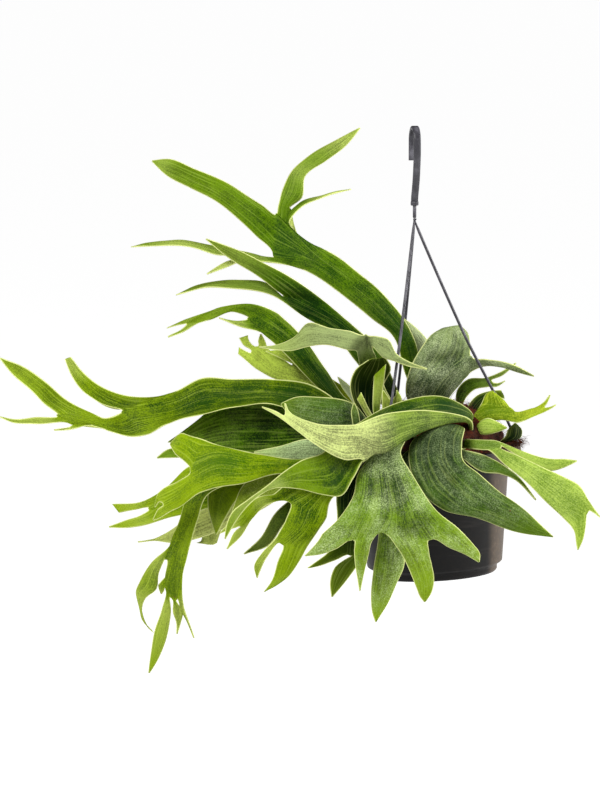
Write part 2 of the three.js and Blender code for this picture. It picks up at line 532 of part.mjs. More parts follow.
// The hole a stalk stands in: the stalk's own foot, made wider, deeper and thicker.
function socket(ribbon, cup, foot) {
  const width = COLUMNS_PER_TIP * tipCount(ribbon) + 1;
  const source = growFrond(ribbon, cup).points;
  const picks = width > 5 ? [0, (width - 1) / 2, width - 1] : [...Array(width).keys()];
  const lines = [];
  for (let k = 0; k < 6 && (k + 1) * width <= source.length; k += 1) {
    const line = picks.map((j) => source[k * width + j].clone());
    const sides = [[0, 1], [line.length - 1, line.length - 2]].map(([edge, inner]) => {
      return line[edge].clone().sub(line[inner]).normalize().multiplyScalar(2 * GAP);
    });
    line[0].add(sides[0]);
    line[line.length - 1].add(sides[1]);
    lines.push(line);
  }
  const down = lines[0][1].clone().sub(lines[1][1]).normalize().multiplyScalar(1.2);
  lines[0].forEach((point) => point.add(down));
  const quads = [];
  for (let k = 0; k + 1 < lines.length; k += 1) {
    for (let j = k * picks.length; j + 1 < (k + 1) * picks.length; j += 1) {
      quads.push([j, j + 1, j + 1 + picks.length, j + picks.length]);
    }
  }
  const thick = bladeThickness(foot);
  const hole = solidOf(thicken({ points: lines.flat(), quads }, (point) => thick(point) + 6 * GAP));
  return ribbon[0][0].length === 9 ? hole.hull() : hole; // no soil in a folded stalk
}

// ---- pot ------------------------------------------------------------------
const potFrame = new THREE.Matrix4().makeRotationY(-TILT).setPosition(RIM);

function turned(profile, segments) {
  const points = profile.map(([r, z]) => new THREE.Vector2(r, z));
  const geometry = new THREE.LatheGeometry(points, segments);
  geometry.rotateX(Math.PI / 2);
  const solid = solidOf(geometry);
  return solid.transform(potFrame.elements);
}

const base = -POT_HEIGHT;
const step = base + FOOT_HEIGHT;
const eyeRadius = COLLAR_TOP_RADIUS - 3.3;
const potProfile = [
  [0, base + 3],
  [FOOT_RADIUS - 6.5, base + 3],
  [FOOT_RADIUS - 5, base],
  [FOOT_RADIUS - 1.6, base],
  [FOOT_RADIUS, base + 2],
  [FOOT_RADIUS, step - 3],
  [WALL_FOOT_RADIUS, step],
  [WALL_TOP_RADIUS, -3.4],
  [COLLAR_TOP_RADIUS - 1.2, -2.6],
  [COLLAR_RADIUS - 1.4, -COLLAR_SKIRT],
  [COLLAR_RADIUS, -COLLAR_SKIRT],
  [COLLAR_TOP_RADIUS, -0.8],
  [COLLAR_TOP_RADIUS - 1, 0],
  [WALL_TOP_RADIUS - WALL + 1, -0.8],
  [WALL_TOP_RADIUS - WALL, -4],
  [WALL_FOOT_RADIUS - WALL, step + 2],
  [FOOT_RADIUS - WALL - 1, base + 3 + WALL],
  [0, base + 3 + WALL],
  [0, base + 3],
];
let pot = turned(potProfile, 36);

// ---- hanger: a hook and three strands -------------------------------------
// A closed rod through rings of given centres and radii.
function rod(centres, radii, sides) {
  const rings = centres.map((centre, k) => {
    const next = centres[Math.min(k + 1, centres.length - 1)];
    const ahead = next.clone().sub(centres[Math.max(k - 1, 0)]).normalize();
    const side = cross3(ahead, new THREE.Vector3(0.31, 0.95, 0)).normalize();
    const up = cross3(side, ahead);
    return Array.from({ length: sides }, (unused, j) => {
      const turn = 2 * Math.PI * j / sides;
      const ring = centre.clone().addScaledVector(side, radii[k] * Math.cos(turn));
      return ring.addScaledVector(up, radii[k] * Math.sin(turn));
    });
  });
  const faces = [];
  for (let k = 0; k + 1 < rings.length; k += 1) {
    for (let j = 0; j < sides; j += 1) {
      const next = (j + 1) % sides;
      faces.push(rings[k][j], rings[k + 1][next], rings[k][next]);
      faces.push(rings[k][j], rings[k + 1][j], rings[k + 1][next]);
    }
  }
  for (let j = 1; j + 1 < sides; j += 1) {
    faces.push(rings[0][0], rings[0][j], rings[0][j + 1]);
    const end = rings[rings.length - 1];
    faces.push(end[0], end[j + 1], end[j]);
  }
  return new THREE.BufferGeometry().setFromPoints(faces);
}

const neck = new THREE.Vector3(0, 0, -HOOK_NECK);
const strands = {};
Object.entries(STRAND_ANGLES).forEach(([name, angle]) => {
  const turn = angle * Math.PI / 180;
  const radial = new THREE.Vector3(Math.cos(turn), Math.sin(turn), 0);
  const eye = radial.clone().multiplyScalar(eyeRadius).applyMatrix4(potFrame);
  const down = new THREE.Vector3(0, 0, -1).transformDirection(potFrame);
  const top = neck.clone().addScaledVector(radial, 0.95).add(new THREE.Vector3(0, 0, -GAP));
  const along = (t, out) => {
    const point = top.clone().lerp(eye, out);
    point.z = top.z + (eye.z - top.z) * t;
    return point;
  };
  const curve = new THREE.CatmullRomCurve3([
    top, along(0.06, 0.035), along(0.5, 0.47), along(0.78, 0.79),
    eye.clone().addScaledVector(down, -4), eye.clone().addScaledVector(down, 3.4),
  ]);
  const centres = curve.getSpacedPoints(16);
  const radii = centres.map((point) => STRAND_DIAMETER / 2 * Math.min(1, 0.5 + point.distanceTo(top) / 24));
  const knob = wasm.Manifold.sphere(2.1, 8).translate(eye.clone().addScaledVector(down, 5).toArray());
  strands[name] = solidOf(rod(centres, radii, 7)).add(knob);
  const hole = centres.slice(-3);
  hole.push(hole[2].clone().addScaledVector(down, 3));
  pot = pot.subtract(solidOf(rod(hole, hole.map(() => STRAND_DIAMETER / 2 + GAP), 10)));
});

const mouth = HOOK_MOUTH_RADIUS + HOOK_THICK / 2;
const hookLine = [];
for (let k = 0; k <= 3; k += 1) hookLine.push([mouth, -HOOK_ARM + k * (HOOK_ARM - HOOK_MOUTH_RADIUS) / 3]);
for (let k = 1; k < 12; k += 1) {
  const turn = Math.PI * k / 12;
  hookLine.push([mouth * Math.cos(turn), -HOOK_MOUTH_RADIUS + mouth * Math.sin(turn)]);
}
const shank = new THREE.SplineCurve([
  new THREE.Vector2(-mouth, -HOOK_MOUTH_RADIUS), new THREE.Vector2(-mouth + 0.3, -24),
  new THREE.Vector2(-7.5, -44), new THREE.Vector2(-0.6, -60), new THREE.Vector2(0, -HOOK_BLOCK),
]);
shank.getPoints(14).forEach((point) => hookLine.push([point.x, point.y]));
const outline = [[], []];
hookLine.forEach(([s, z], k) => {
  const before = hookLine[Math.max(k - 1, 0)];
  const after = hookLine[Math.min(k + 1, hookLine.length - 1)];
  const ahead = new THREE.Vector2(after[0] - before[0], after[1] - before[1]).normalize();
  outline[0].push([s - ahead.y * HOOK_THICK / 2, z + ahead.x * HOOK_THICK / 2]);
  outline[1].unshift([s + ahead.y * HOOK_THICK / 2, z - ahead.x * HOOK_THICK / 2]);
});
const hookShape = new THREE.Shape(outline.flat().map(([s, z]) => new THREE.Vector2(s, z)));
const hookBar = new THREE.ExtrudeGeometry(hookShape, { depth: HOOK_WIDTH, bevelEnabled: false });
hookBar.translate(0, 0, -HOOK_WIDTH / 2);
hookBar.rotateX(Math.PI / 2);
hookBar.rotateZ(Math.PI / 2 + HOOK_YAW);
const block = wasm.Manifold.cube([HOOK_WIDTH, HOOK_WIDTH, 4], true).translate([0, 0, -HOOK_BLOCK - 1]);
const stem = wasm.Manifold.cylinder(HOOK_NECK - HOOK_BLOCK, 1.6, 1.6, 16).translate([0, 0, -HOOK_NECK]);
const hook = solidOf(hookBar).add(block).add(stem);

// ---- root ball -------------------------------------------------------------
const soilProfile = [[0, -MOUND_DEPTH], [WALL_TOP_RADIUS - WALL - 3.4, -MOUND_DEPTH], [MOUND_RADIUS, -2]];
for (let k = 1; k < 6; k += 1) {
  const turn = Math.PI / 2 * k / 6;
  soilProfile.push([MOUND_RADIUS * Math.cos(turn) ** 0.8, -2 + (MOUND_HEIGHT + 2) * Math.sin(turn)]);
}
soilProfile.push([0, MOUND_HEIGHT], [0, -MOUND_DEPTH]);
let soil = turned(soilProfile, 24);

// Crumbs cut loose between stalks that stand close together are left out.
function largest(solid) {
  return solid.decompose().sort((one, other) => other.volume() - one.volume())[0];
}

const fronds = new Map();
Object.entries(FRONDS).forEach(([key, [tint, face, cup, ribbon]]) => {
  const [name, branch] = key.split('/');
  const sheet = growFrond(ribbon, cup);
  const [left, right] = [ribbon[0][0].slice(0, 3), ribbon[0][0].slice(-3)].map((p) => place(...p));
  const foot = left.add(right).multiplyScalar(0.5);
  const blade = thicken(sheet, bladeThickness(foot));
  if (branch) {
    fronds.get(name).geometry = geometryOf(solidOf(fronds.get(name).geometry).add(solidOf(blade)));
  } else {
    soil = soil.subtract(socket(ribbon, cup, foot));
    fronds.set(name, { tint, geometry: blade });
  }
});

addPiece('pot', geometryOf(pot), 0x1d1c1c, 0.55);
addPiece('root_ball', geometryOf(largest(soil)), 0x5a2c14, 0.95);
addPiece('hook', geometryOf(hook), 0x35343a, 0.4);
Object.entries(strands).forEach(([name, solid]) => addPiece(name, geometryOf(solid), 0x35343a, 0.4));
fronds.forEach(({ tint, geometry }, name) => addPiece(name, geometry, ...TINTS[tint]));

export default group;
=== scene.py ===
"""Staghorn fern in a hanging pot: the looks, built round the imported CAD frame. Metres, +Z up."""
import math

import bpy
import numpy as np
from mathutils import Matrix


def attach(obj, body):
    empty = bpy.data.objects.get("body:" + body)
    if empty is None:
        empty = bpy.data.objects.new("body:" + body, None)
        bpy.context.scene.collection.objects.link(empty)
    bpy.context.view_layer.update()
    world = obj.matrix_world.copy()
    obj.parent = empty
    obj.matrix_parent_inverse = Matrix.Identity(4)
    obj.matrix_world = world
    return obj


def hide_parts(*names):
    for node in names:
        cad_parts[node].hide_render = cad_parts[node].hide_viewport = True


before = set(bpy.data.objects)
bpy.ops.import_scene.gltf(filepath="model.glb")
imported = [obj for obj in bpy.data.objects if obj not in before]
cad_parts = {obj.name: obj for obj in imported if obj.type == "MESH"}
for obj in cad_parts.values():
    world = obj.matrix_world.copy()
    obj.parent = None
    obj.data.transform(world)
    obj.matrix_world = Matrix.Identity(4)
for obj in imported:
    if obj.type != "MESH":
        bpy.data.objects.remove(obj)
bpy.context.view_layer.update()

bl_info = {
    "name": "Staghorn fern in a hanging pot",
    "version": (1, 0, 0),
    "blender": (4, 5, 0),
    "location": "View3D > Sidebar > Staghorn",
    "description": "Builds a staghorn fern, its coir root ball, its pot and its hanger",
    "category": "Add Mesh",
}

# ---- sizes shared with the solids, in millimetres -------------------------
MM = 0.001
TILT = math.radians(3.4)
RIM = np.array([13.0, 0.0, -287.0])
POT_HEIGHT = 113.0
COLLAR_RADIUS = 84.5
COLLAR_TOP_RADIUS = 82.8
COLLAR_SKIRT = 12.0
WALL_TOP_RADIUS = 73.0
WALL_FOOT_RADIUS = 61.0
FOOT_RADIUS = 56.0
FOOT_HEIGHT = 9.0
WALL = 1.8
MOUND_RADIUS = 69.0
MOUND_HEIGHT = 42.0
MOUND_DEPTH = 20.0
HOOK_WIDTH = 6.3
HOOK_THICK = 3.4
HOOK_MOUTH_RADIUS = 10.5
HOOK_ARM = 28.0
HOOK_BLOCK = 65.0
HOOK_NECK = 79.0
HOOK_YAW = math.radians(9)
BLADE = 1.1
STALK_EXTRA = 0.9
GAP = 0.35
STRAND_ANGLES = {"strand_right": -7, "strand_front_left": -121, "strand_back": 112}
STRAND_DIAMETER = 2.7
STEM_RADIUS = 1.6
KNOB_RADIUS = 2.1
FLOOR_LEVEL = -0.95                 # in metres, under the hook
SWEEP_SIDE = (0.31, 0.95, 0.0)      # lies across no bar's path, so it can orient a section

# The sheet the fronds are drawn on: 600 by 800 squares, seen from SHEET_FAR in front and
# SHEET_RISE above the level.
SQUARE = 0.9
SHEET_FAR = 3600.0
SHEET_RISE = math.radians(6)
SHEET_MIDDLE = np.array([-102.6, 0.0, -243.0])

# Each frond is [tint, face, cup, ribbon]. face is 1 where its upper face looks forward, -1
# where its underside does. A ribbon is [rows, notches, branches]; a row goes from the left
# edge to the right edge seen from the stalk, as two points, three with its own middle, or
# one for a tip. Branches share the last row between them, parted at the notches. A name
# with a slash is a branch that leaves the frond before the slash at an angle.
FRONDS = {
"frond_tall": ["mid", 1, 0.10, [[
  [424,416,14, 438,414,16], [405,374,8, 422,372,14], [392,335,4, 414,338,10],
   [372,319,4, 388,299,8],
  [337,291,6, 355,270,10], [308,272,10, 330,252,14], [291,266,12, 303,243,16]],
  [[273,256,14], [276,213,22]],
  [[[[262,262,4, 262,256,18], [247,260,4, 247,252,18]],
    [[240,257,8]],
    [[[[228,267,2, 227,261,6], [207,274,2]]],
     [[[216,255,4, 214,246,18], [190,247,6, 190,241,18], [160,246,8, 160,241,16], [131,247,10]]]]],
   [[[256,236,18, 262,205,24], [238,219,20, 248,196,25], [217,202,22, 224,181,26],
    [190,188,24, 195,169,28],
     [167,176,26, 170,159,30], [152,161,30]]],
   [[[278,206,22, 294,230,18]],
    [[291,209,22]],
    [[[[283,188,26, 302,198,24], [291,172,28, 305,177,27], [307,157,30, 326,161,30],
     [332,142,36, 345,147,35],
       [360,128,42]]],
     [[[292,213,26, 289,223,8], [300,204,26, 302,207,8], [325,195,22, 325,197,12],
      [351,189,18]]]]]]]],
"frond_tall_back": ["grey", -1, 0.06, [[
  [440,416,30, 452,414,32], [424,380,24, 440,375,26], [409,346,20, 426,338,22],
   [403,328,19, 413,325,20],
  [401,317,19]]]],
"frond_high_left": ["dark", 1, 0.10, [[
  [398,414,-6, 408,412,-4], [380,392,-8, 396,386,-6], [356,362,-6, 378,349,-4],
   [333,334,-2, 350,323,2],
  [306,318,2, 328,304,6]],
  [[282,296,4]],
  [[[[268,294,0, 266,283,8], [236,289,-2, 236,280,8], [205,288,-2, 205,283,6], [176,295,0]]],
   [[[273,288,-2, 292,278,0], [253,273,-6, 268,265,-4], [231,260,-8, 238,250,-6], [206,239,-7]]]]]],
"frond_arched": ["mid", 1, 0.12, [[
  [368,430,-18, 378,427,-16], [347,413,-18, 361,409,-14], [329,399,-19, 346,398,-15],
   [303,373,-22, 325,368,-18],
  [278,347,-20, 299,333,-16], [262,333,-18, 279,314,-14]],
  [[247,318,-16]],
  [[[[240,327,-20, 240,321,-16], [219,318,-18]]],
   [[[234,312,-18, 251,304,-14], [210,320,-18, 222,307,-14], [199,323,-18, 204,313,-14]],
    [[186,324,-16]],
    [[[[184,332,-18, 183,328,-16], [168,337,-18]]],
     [[[180,325,-15, 182,321,-13], [167,328,-14]]]]]]]],
"frond_arched_small": ["grey", -1, 0.05, [[
  [366,430,3, 374,428,3], [351,400,-8, 359,400,-7], [341,386,-9, 350,386,-8], [338,377,-8]]]],
"frond_ragged": ["light", -1, 0.08, [[
  [378,424,8, 388,418,10], [342,402,3, 352,392,6], [304,386,-6, 318,370,-2]],
  [[292,364,-2]],
  [[[[272,378,-6, 279,356,-2], [256,369,-6, 268,349,-2]],
    [[251,352,-4], [258,346,-3]],
    [[[[243,358,-6, 244,350,-5], [238,354,-6, 239,347,-5]]],
     [[[243,345,-5, 248,338,-4], [239,338,-5, 248,335,-4]]],
     [[[258,341,-4, 266,343,-3], [261,334,-4]]]]],
   [[[280,358,-10, 292,351,-8], [266,351,-10]]]]]],
"frond_wavy": ["grey", -1, 0.06, [[
  [400,425,-22, 410,424,-22], [372,392,-22, 386,390,-20], [360,366,-22, 378,362,-22],
   [357,352,-32, 373,350,-32]],
  [[366,334,-44]],
  [[[[347,350,-50, 350,331,-46], [326,345,-52, 330,328,-46], [307,347,-50, 308,323,-44],
   [291,351,-48, 294,337,-44],
     [275,350,-46, 276,345,-44], [259,347,-44]]],
   [[[376,336,-52, 374,348,-52], [388,339,-54, 384,358,-54], [397,354,-56, 393,361,-56],
    [408,361,-56, 407,366,-56],
     [427,369,-58]]]]]],
"frond_long_left": ["dark", 1, -0.22, [[
  [366,448,-28, 372,443,-24], [334,424,-38, 345,408,-30], [302,413,-44, 312,385,-26],
   [270,404,-48, 270,379,-26],
  [230,408,-50, 232,379,-26], [200,415,-52, 202,378,-28], [172,422,-52, 178,390,-30],
   [150,434,-52, 168,394,-30]],
  [[121,412,-40]],
  [[[[132,437,-52, 118,414,-42], [110,431,-52, 106,418,-44], [92,425,-50, 90,412,-40]],
    [[72,425,-46], [56,415,-44]],
    [[[[70,430,-50, 69,427,-49], [54,430,-50]]],
     [[[35,424,-48, 35,417,-42], [16,423,-47, 15,419,-44], [0,417,-46]]],
     [[[43,403,-44, 64,398,-40], [33,392,-43, 46,382,-38], [15,377,-42, 24,367,-38],
      [0,358,-42]]]]],
   [[[103,404,-34, 145,397,-22], [92,398,-32, 120,394,-20], [83,391,-30, 99,385,-20],
    [71,375,-28, 83,372,-20],
     [65,359,-26, 71,357,-24]]]]]],
"frond_dark_left": ["dark", 1, 0.06, [[
  [384,430,-6, 386,422,-4], [360,434,-10, 360,422,-7], [335,440,-18, 335,418,-8],
   [300,455,-26, 300,406,-10], [262,462,-30, 262,398,-14],
  [225,462,-34, 222,400,-18], [200,458,-38, 201,417,-24]],
  [[172,447,-38]],
  [[[[172,458,-42, 166,450,-40], [157,458,-42]]],
   [[[175,443,-36, 183,431,-32], [168,442,-36]]]]]],
"frond_inner_left": ["grey", 1, 0.10, [[
  [376,448,-40, 380,441,-37], [345,438,-56, 350,402,-48], [318,434,-60, 318,397,-52],
   [296,424,-60, 296,397,-54],
  [281,404,-56]]]],
"frond_inner_left/strip": ["grey", -1, 0.05, [[
  [350,432,-44, 352,422,-42], [332,458,-64, 334,440,-61], [298,461,-68, 306,439,-62],
   [275,458,-68, 280,446,-64],
  [254,452,-66]]]],
"frond_inner_left/shield": ["yellow", 1, 0.08, [[
  [354,432,-46, 362,432,-44], [352,421,-56, 360,421,-54], [351,411,-56, 358,410,-56],
   [354,403,-56]]]],
"frond_broad_left": ["light", 1, 0.12, [[
  [398,442,-53, 400,433,-49], [368,450,-67, 370,440,-62], [338,461,-76, 341,449,-72],
   [300,472,-86, 305,459,-80], [272,475,-92, 276,457,-84],
  [241,484,-98, 249,452,-88], [215,488,-102, 215,444,-90], [200,493,-104, 202,439,-92]],
  [[190,470,-102]],
  [[[[178,508,-108, 180,480,-106], [170,512,-110, 167,486,-108]],
    [[163,504,-110]],
    [[[[160,518,-112, 158,509,-111], [153,520,-112]]],
     [[[160,502,-110, 158,493,-109], [155,507,-110]]]]],
   [[[185,462,-100, 191,436,-92], [175,454,-100, 181,433,-94], [170,444,-98]]]]]],
"frond_left_twin": ["light", 1, 0.08, [[
  [388,441,-20, 390,433,-17], [350,453,-22, 350,443,-18], [322,468,-36, 320,454,-30],
   [280,482,-40, 280,464,-32], [230,500,-47, 230,468,-38],
  [196,512,-54, 192,465,-44], [172,517,-58, 167,487,-50]],
  [[148,509,-56]],
  [[[[142,526,-60, 141,515,-58], [128,528,-61, 126,520,-59], [109,527,-62]]],
   [[[134,510,-57, 140,502,-55], [119,513,-58, 112,504,-56]]]]]],
"frond_left_thin": ["light", -1, 0.06, [[
  [390,424,-2, 392,416,1], [350,447,-8, 350,437,-4], [322,464,-12, 320,450,-8],
   [286,494,-14, 284,478,-10], [230,526,-20, 222,502,-16], [200,538,-24, 190,516,-20],
  [172,543,-26, 166,533,-22], [154,541,-26, 153,539,-24], [138,542,-26]]]],
"frond_left_thin/wedge": ["light", -1, 0.05, [[
  [322,458,-12, 322,450,-8], [306,476,-2, 304,462,0], [280,492,-4, 276,478,0],
   [250,505,-8, 242,492,-4], [226,520,-12, 209,514,-8],
  [220,534,-14, 205,529,-12], [217,543,-15, 201,541,-14]], [], [[[[197,543,-15]]]]]],
"frond_drooping": ["mid", 1, 0.16, [[
  [382,440,-28, 384,432,-25], [350,450,-46, 348,438,-42], [300,466,-60, 300,452,-54],
   [236,482,-72, 230,464,-64], [206,497,-80, 189,492,-74],
  [198,519,-84, 180,518,-80], [190,546,-86, 170,545,-82]],
  [[165,560,-84]],
  [[[[183,573,-88, 165,577,-84]],
    [[177,600,-88], [171,598,-86], [165,588,-84]],
    [[[[184,606,-90, 181,609,-88], [190,624,-90, 188,625,-88], [194,638,-90]]],
     [[[183,612,-88, 173,613,-88], [181,622,-88, 176,622,-88], [177,634,-88]]],
     [[[171,612,-86, 162,608,-86], [167,636,-86, 154,633,-88], [158,660,-88, 150,659,-88],
      [149,673,-88]]],
     [[[164,591,-82, 158,585,-82], [161,594,-82]]]]],
   [[[159,573,-82, 152,562,-80], [156,590,-84, 139,583,-80], [146,598,-84, 136,590,-82],
    [142,611,-82, 139,605,-82],
     [147,625,-82, 142,620,-82], [153,632,-82]]]]]],
"frond_drooping/hanging": ["mid", 1, 0.08, [[
  [338,454,-54, 338,446,-52], [322,464,-46, 322,454,-44], [305,474,-50, 305,462,-46],
   [255,490,-64, 248,474,-56], [237,500,-68, 210,486,-60],
  [229,512,-70, 208,506,-64], [221,527,-70, 212,524,-66], [216,535,-68]]]],
"frond_curled": ["light", 1, 0, [[
  [473,435,-40, 470,434,-37, 471,427,-32], [471,420,-62, 467,422,-60, 472,413,-49],
  [436,411,-84, 434,427,-86, 445,397,-60], [404,411,-108, 402,442,-112, 406,400,-78],
  [380,415,-120, 382,453,-124, 380,410,-90], [358,424,-126, 366,462,-130, 350,428,-98]],
  [[364,462,-130]],
  [[[[338,425,-128, 345,460,-134], [319,424,-128, 316,445,-134], [302,419,-126, 292,427,-130]],
    [[284,415,-126]],
    [[[[289,411,-124, 285,411,-124], [285,403,-122]]],
     [[[276,411,-126, 277,416,-127], [262,407,-124]]]]],
   [[[354,477,-128, 335,440,-104], [341,496,-124, 322,453,-108], [324,495,-118, 302,460,-110],
     [298,489,-114, 286,470,-110], [272,489,-112, 265,487,-112], [251,503,-112, 247,500,-112],
     [239,517,-112, 232,512,-112], [231,530,-112, 226,526,-112], [225,539,-112]]]]]],
"frond_low_left": ["mid", 1, 0.10, [[
  [388,455,-52, 379,454,-51], [365,461,-92, 350,451,-87], [345,487,-104, 315,468,-98],
   [330,502,-106, 286,484,-100],
  [327,517,-106, 274,494,-98]],
  [[289,502,-104]],
  [[[[318,531,-106, 286,519,-104], [308,546,-104, 277,536,-102]],
    [[281,544,-102]],
    [[[[300,560,-102, 277,563,-102], [289,576,-100, 271,582,-100], [264,592,-100]]],
     [[[268,556,-100, 262,553,-98], [260,572,-100, 254,567,-98], [257,578,-100]]]]],
   [[[264,507,-100, 258,497,-98], [252,519,-98, 247,505,-98]],
    [[240,527,-98]],
    [[[[242,535,-96, 236,530,-96], [227,549,-94]]],
     [[[235,528,-98, 234,518,-98], [220,533,-98]]]]]]]],
"frond_low_left/grey": ["grey", 1, 0.05, [[
  [346,476,-100, 344,466,-98], [334,480,-90, 330,470,-86], [318,486,-86, 312,474,-78],
   [290,494,-88, 270,470,-80], [262,505,-88, 244,484,-82],
  [232,512,-86]]]],
"frond_low_left/dark": ["dark", 1, 0.06, [[
  [332,492,-108, 322,484,-108], [318,502,-98, 306,490,-94], [286,522,-92, 276,512,-90],
  [268,546,-90, 260,538,-88], [244,554,-88]]]],
"frond_front": ["mid", 1, 0.12, [[
  [422,437,-48, 410,436,-48], [405,442,-96, 384,440,-96], [401,455,-112, 368,459,-112],
   [411,472,-118, 358,474,-118],
  [423,492,-120, 353,496,-120], [438,512,-122, 340,517,-120], [456,526,-122, 322,534,-120]],
  [[430,540,-124], [381,532,-124], [353,540,-124]],
  [[[[473,544,-122, 450,548,-124], [480,554,-122, 466,555,-123], [479,562,-122]]],
   [[[429,552,-125, 398,549,-125], [432,565,-126, 408,567,-126], [434,580,-126, 416,587,-126],
     [431,594,-126, 420,597,-126], [425,602,-126]]],
   [[[372,541,-124, 354,551,-124], [369,553,-124, 355,563,-124], [364,573,-124, 357,577,-124],
    [360,591,-124]]],
   [[[338,548,-122, 320,538,-121], [322,554,-122, 311,549,-121], [305,556,-122]]]]]],
"frond_front_right": ["grey", 1, 0.14, [[
  [447,441,-50, 435,441,-50], [464,428,-70, 436,429,-72], [462,444,-93, 411,443,-92],
   [463,460,-102, 409,463,-105],
  [478,473,-106, 422,493,-110], [500,492,-106, 444,510,-110], [524,509,-104, 478,518,-107],
   [537,521,-102, 512,531,-103],
  [553,537,-100]]]],
"frond_under_front": ["dark", 1, 0.08, [[
  [411,452,-60, 403,452,-60], [394,466,-99, 374,462,-97], [374,495,-112, 338,488,-108],
   [370,525,-112, 337,518,-109],
  [366,548,-110, 336,541,-108]],
  [[351,556,-110]],
  [[[[357,566,-110, 335,567,-110], [346,581,-110, 330,581,-110], [332,597,-110]]],
   [[[336,560,-108, 329,551,-108], [320,566,-108, 314,563,-108], [308,568,-108]]]]]],
"frond_under_grey": ["grey", 1, 0.10, [[
  [430,448,-61, 421,448,-61], [424,456,-92, 404,454,-92], [412,478,-102, 388,476,-102],
   [406,510,-102, 380,508,-102],
  [404,540,-98, 378,540,-98], [404,566,-94, 373,572,-94], [396,585,-92, 371,600,-92],
   [388,603,-92, 372,612,-92],
  [376,622,-92]]]],
"frond_right_low": ["light", 1, 0.10, [[
  [458,436,-39, 455,443,-42], [468,439,-58, 465,448,-64], [494,440,-76, 488,450,-82]],
  [[502,447,-80]],
  [[[[522,451,-76, 518,456,-80], [552,459,-78, 553,471,-82], [566,459,-80, 566,467,-83],
   [577,461,-82]]],
   [[[517,455,-92, 505,465,-94], [540,466,-98, 524,480,-100], [564,477,-104, 545,501,-104],
     [580,486,-108, 560,515,-106], [588,499,-110, 570,525,-108]],
    [[589,511,-110]],
    [[[[594,508,-110, 592,512,-110], [600,517,-110]]],
     [[[586,525,-110, 574,531,-109], [583,540,-110, 576,543,-109], [578,550,-109]]]]]]]],
"frond_right_dark": ["dark", 1, 0.08, [[
  [467,448,-52, 463,453,-54], [464,450,-84, 462,458,-92], [484,455,-84, 482,472,-92],
   [503,465,-82, 500,474,-86],
  [517,475,-80, 513,479,-82], [536,500,-80]]]],
"frond_upright_grey": ["grey", 1, 0.12, [[
  [424,414,0, 440,412,4], [406,396,-12, 451,395,8], [406,383,-16, 461,383,10],
   [411,366,-18, 470,373,12]],
  [[472,356,8]],
  [[[[421,348,-16, 470,344,8], [431,335,-10, 468,333,10], [441,329,-2, 460,325,8]]],
   [[[486,359,8, 487,366,12], [500,361,6, 500,367,10], [515,365,4, 516,372,8], [534,376,4]]]]]],
"frond_right_thin": ["dark", 1, 0.05, [[
  [456,412,20, 460,420,20], [458,388,22, 466,398,22], [468,379,24, 474,390,24],
   [484,378,24, 489,387,24]],
  [[492,381,24]],
  [[[[500,372,24, 502,376,24], [516,363,24]]],
   [[[497,383,25, 496,387,25], [505,381,26]]]]]],
"frond_young_yellow": ["yellow", 1, 0.18, [[
  [464,432,-14, 470,436,-16], [470,420,-22, 478,426,-28], [479,408,-26, 500,420,-38],
   [482,402,-26, 517,423,-42]],
  [[513,409,-38]],
  [[[[486,394,-24, 505,401,-32], [493,391,-26]]],
   [[[534,408,-40, 533,417,-44]],
    [[545,407,-42]],
    [[[[544,402,-41, 547,404,-42], [550,395,-42]]],
     [[[549,407,-43, 549,410,-44], [556,405,-44]]]]]]]],
"frond_young_pale": ["light", 1, 0.12, [[
  [478,438,-22, 474,444,-24], [481,421,-38, 477,435,-41], [488,418,-42, 485,435,-44],
   [498,422,-44, 495,433,-46],
  [507,428,-45]]]],
"frond_young_dark": ["dark", 1, 0.06, [[
  [466,424,2, 474,426,2], [467,408,4, 480,410,2], [476,396,6, 488,402,4],
   [490,391,8, 497,398,6], [501,390,10, 505,399,8]]]],
"shield_right": ["dark", 1, 0.20, [[
  [490,448,-25, 498,448,-24], [500,441,-27, 508,441,-25], [506,435,-27, 521,437,-20],
   [507,431,-26, 522,431,-18], [515,423,-22]]]],
"shield_inner": ["dark", 1, -0.10, [[
  [374,437,-35, 383,435,-35], [355,406,-34, 378,404,-32], [350,384,-36, 384,384,-32],
   [356,369,-38, 391,367,-36],
  [368,360,-40, 386,358,-38]]]],
"cut_stalk_tall": ["light", 1, 0.10, [[
  [382,443,-43, 389,443,-43], [373,412,-46, 380,412,-46], [373,390,-44, 383,390,-44],
   [374,376,-42, 386,364,-42]]]],
"cut_stalk_tall/short": ["light", -1, 0.10, [[
  [378,430,-42, 384,428,-42], [366,415,-49, 372,414,-49], [357,399,-50, 361,392,-50]]]],
"shield_front": ["yellow", 1, 0.08, [[
  [392,437,-44, 401,437,-44], [382,408,-46, 402,406,-46]],
  [[391,399,-46]],
  [[[[382,397,-46, 388,396,-46], [383,390,-46]]],
   [[[395,396,-46, 402,399,-46], [397,390,-46]]]]]],
"frond_back_drooping": ["mid", 1, 0.10, [[
  [416,428,46, 430,428,46], [408,414,84, 440,414,84], [402,440,112, 446,440,112],
   [396,474,124, 452,474,124],
  [388,500,130, 458,500,130]],
  [[422,512,132]],
  [[[[392,530,132, 412,532,132], [400,552,132]]],
   [[[430,535,130, 452,530,130], [446,558,128]]]]]],
"frond_back_left": ["mid", 1, 0.10, [[
  [394,434,44, 396,427,47], [366,440,74, 364,420,84], [330,452,98, 326,424,108],
   [300,462,112, 296,432,122]],
  [[286,450,120]],
  [[[[276,470,116, 272,462,118], [254,474,118]]],
   [[[270,446,124, 270,438,126], [248,440,126]]]]]],
"frond_back_right": ["mid", 1, 0.10, [[
  [462,430,40, 460,440,40], [480,426,64, 470,430,66], [488,450,94, 472,455,96],
   [496,484,104, 464,488,108]],
  [[478,504,110]],
  [[[[492,508,108, 486,512,110], [490,532,110]]],
   [[[470,512,112, 460,508,112], [462,538,112]]]]]],
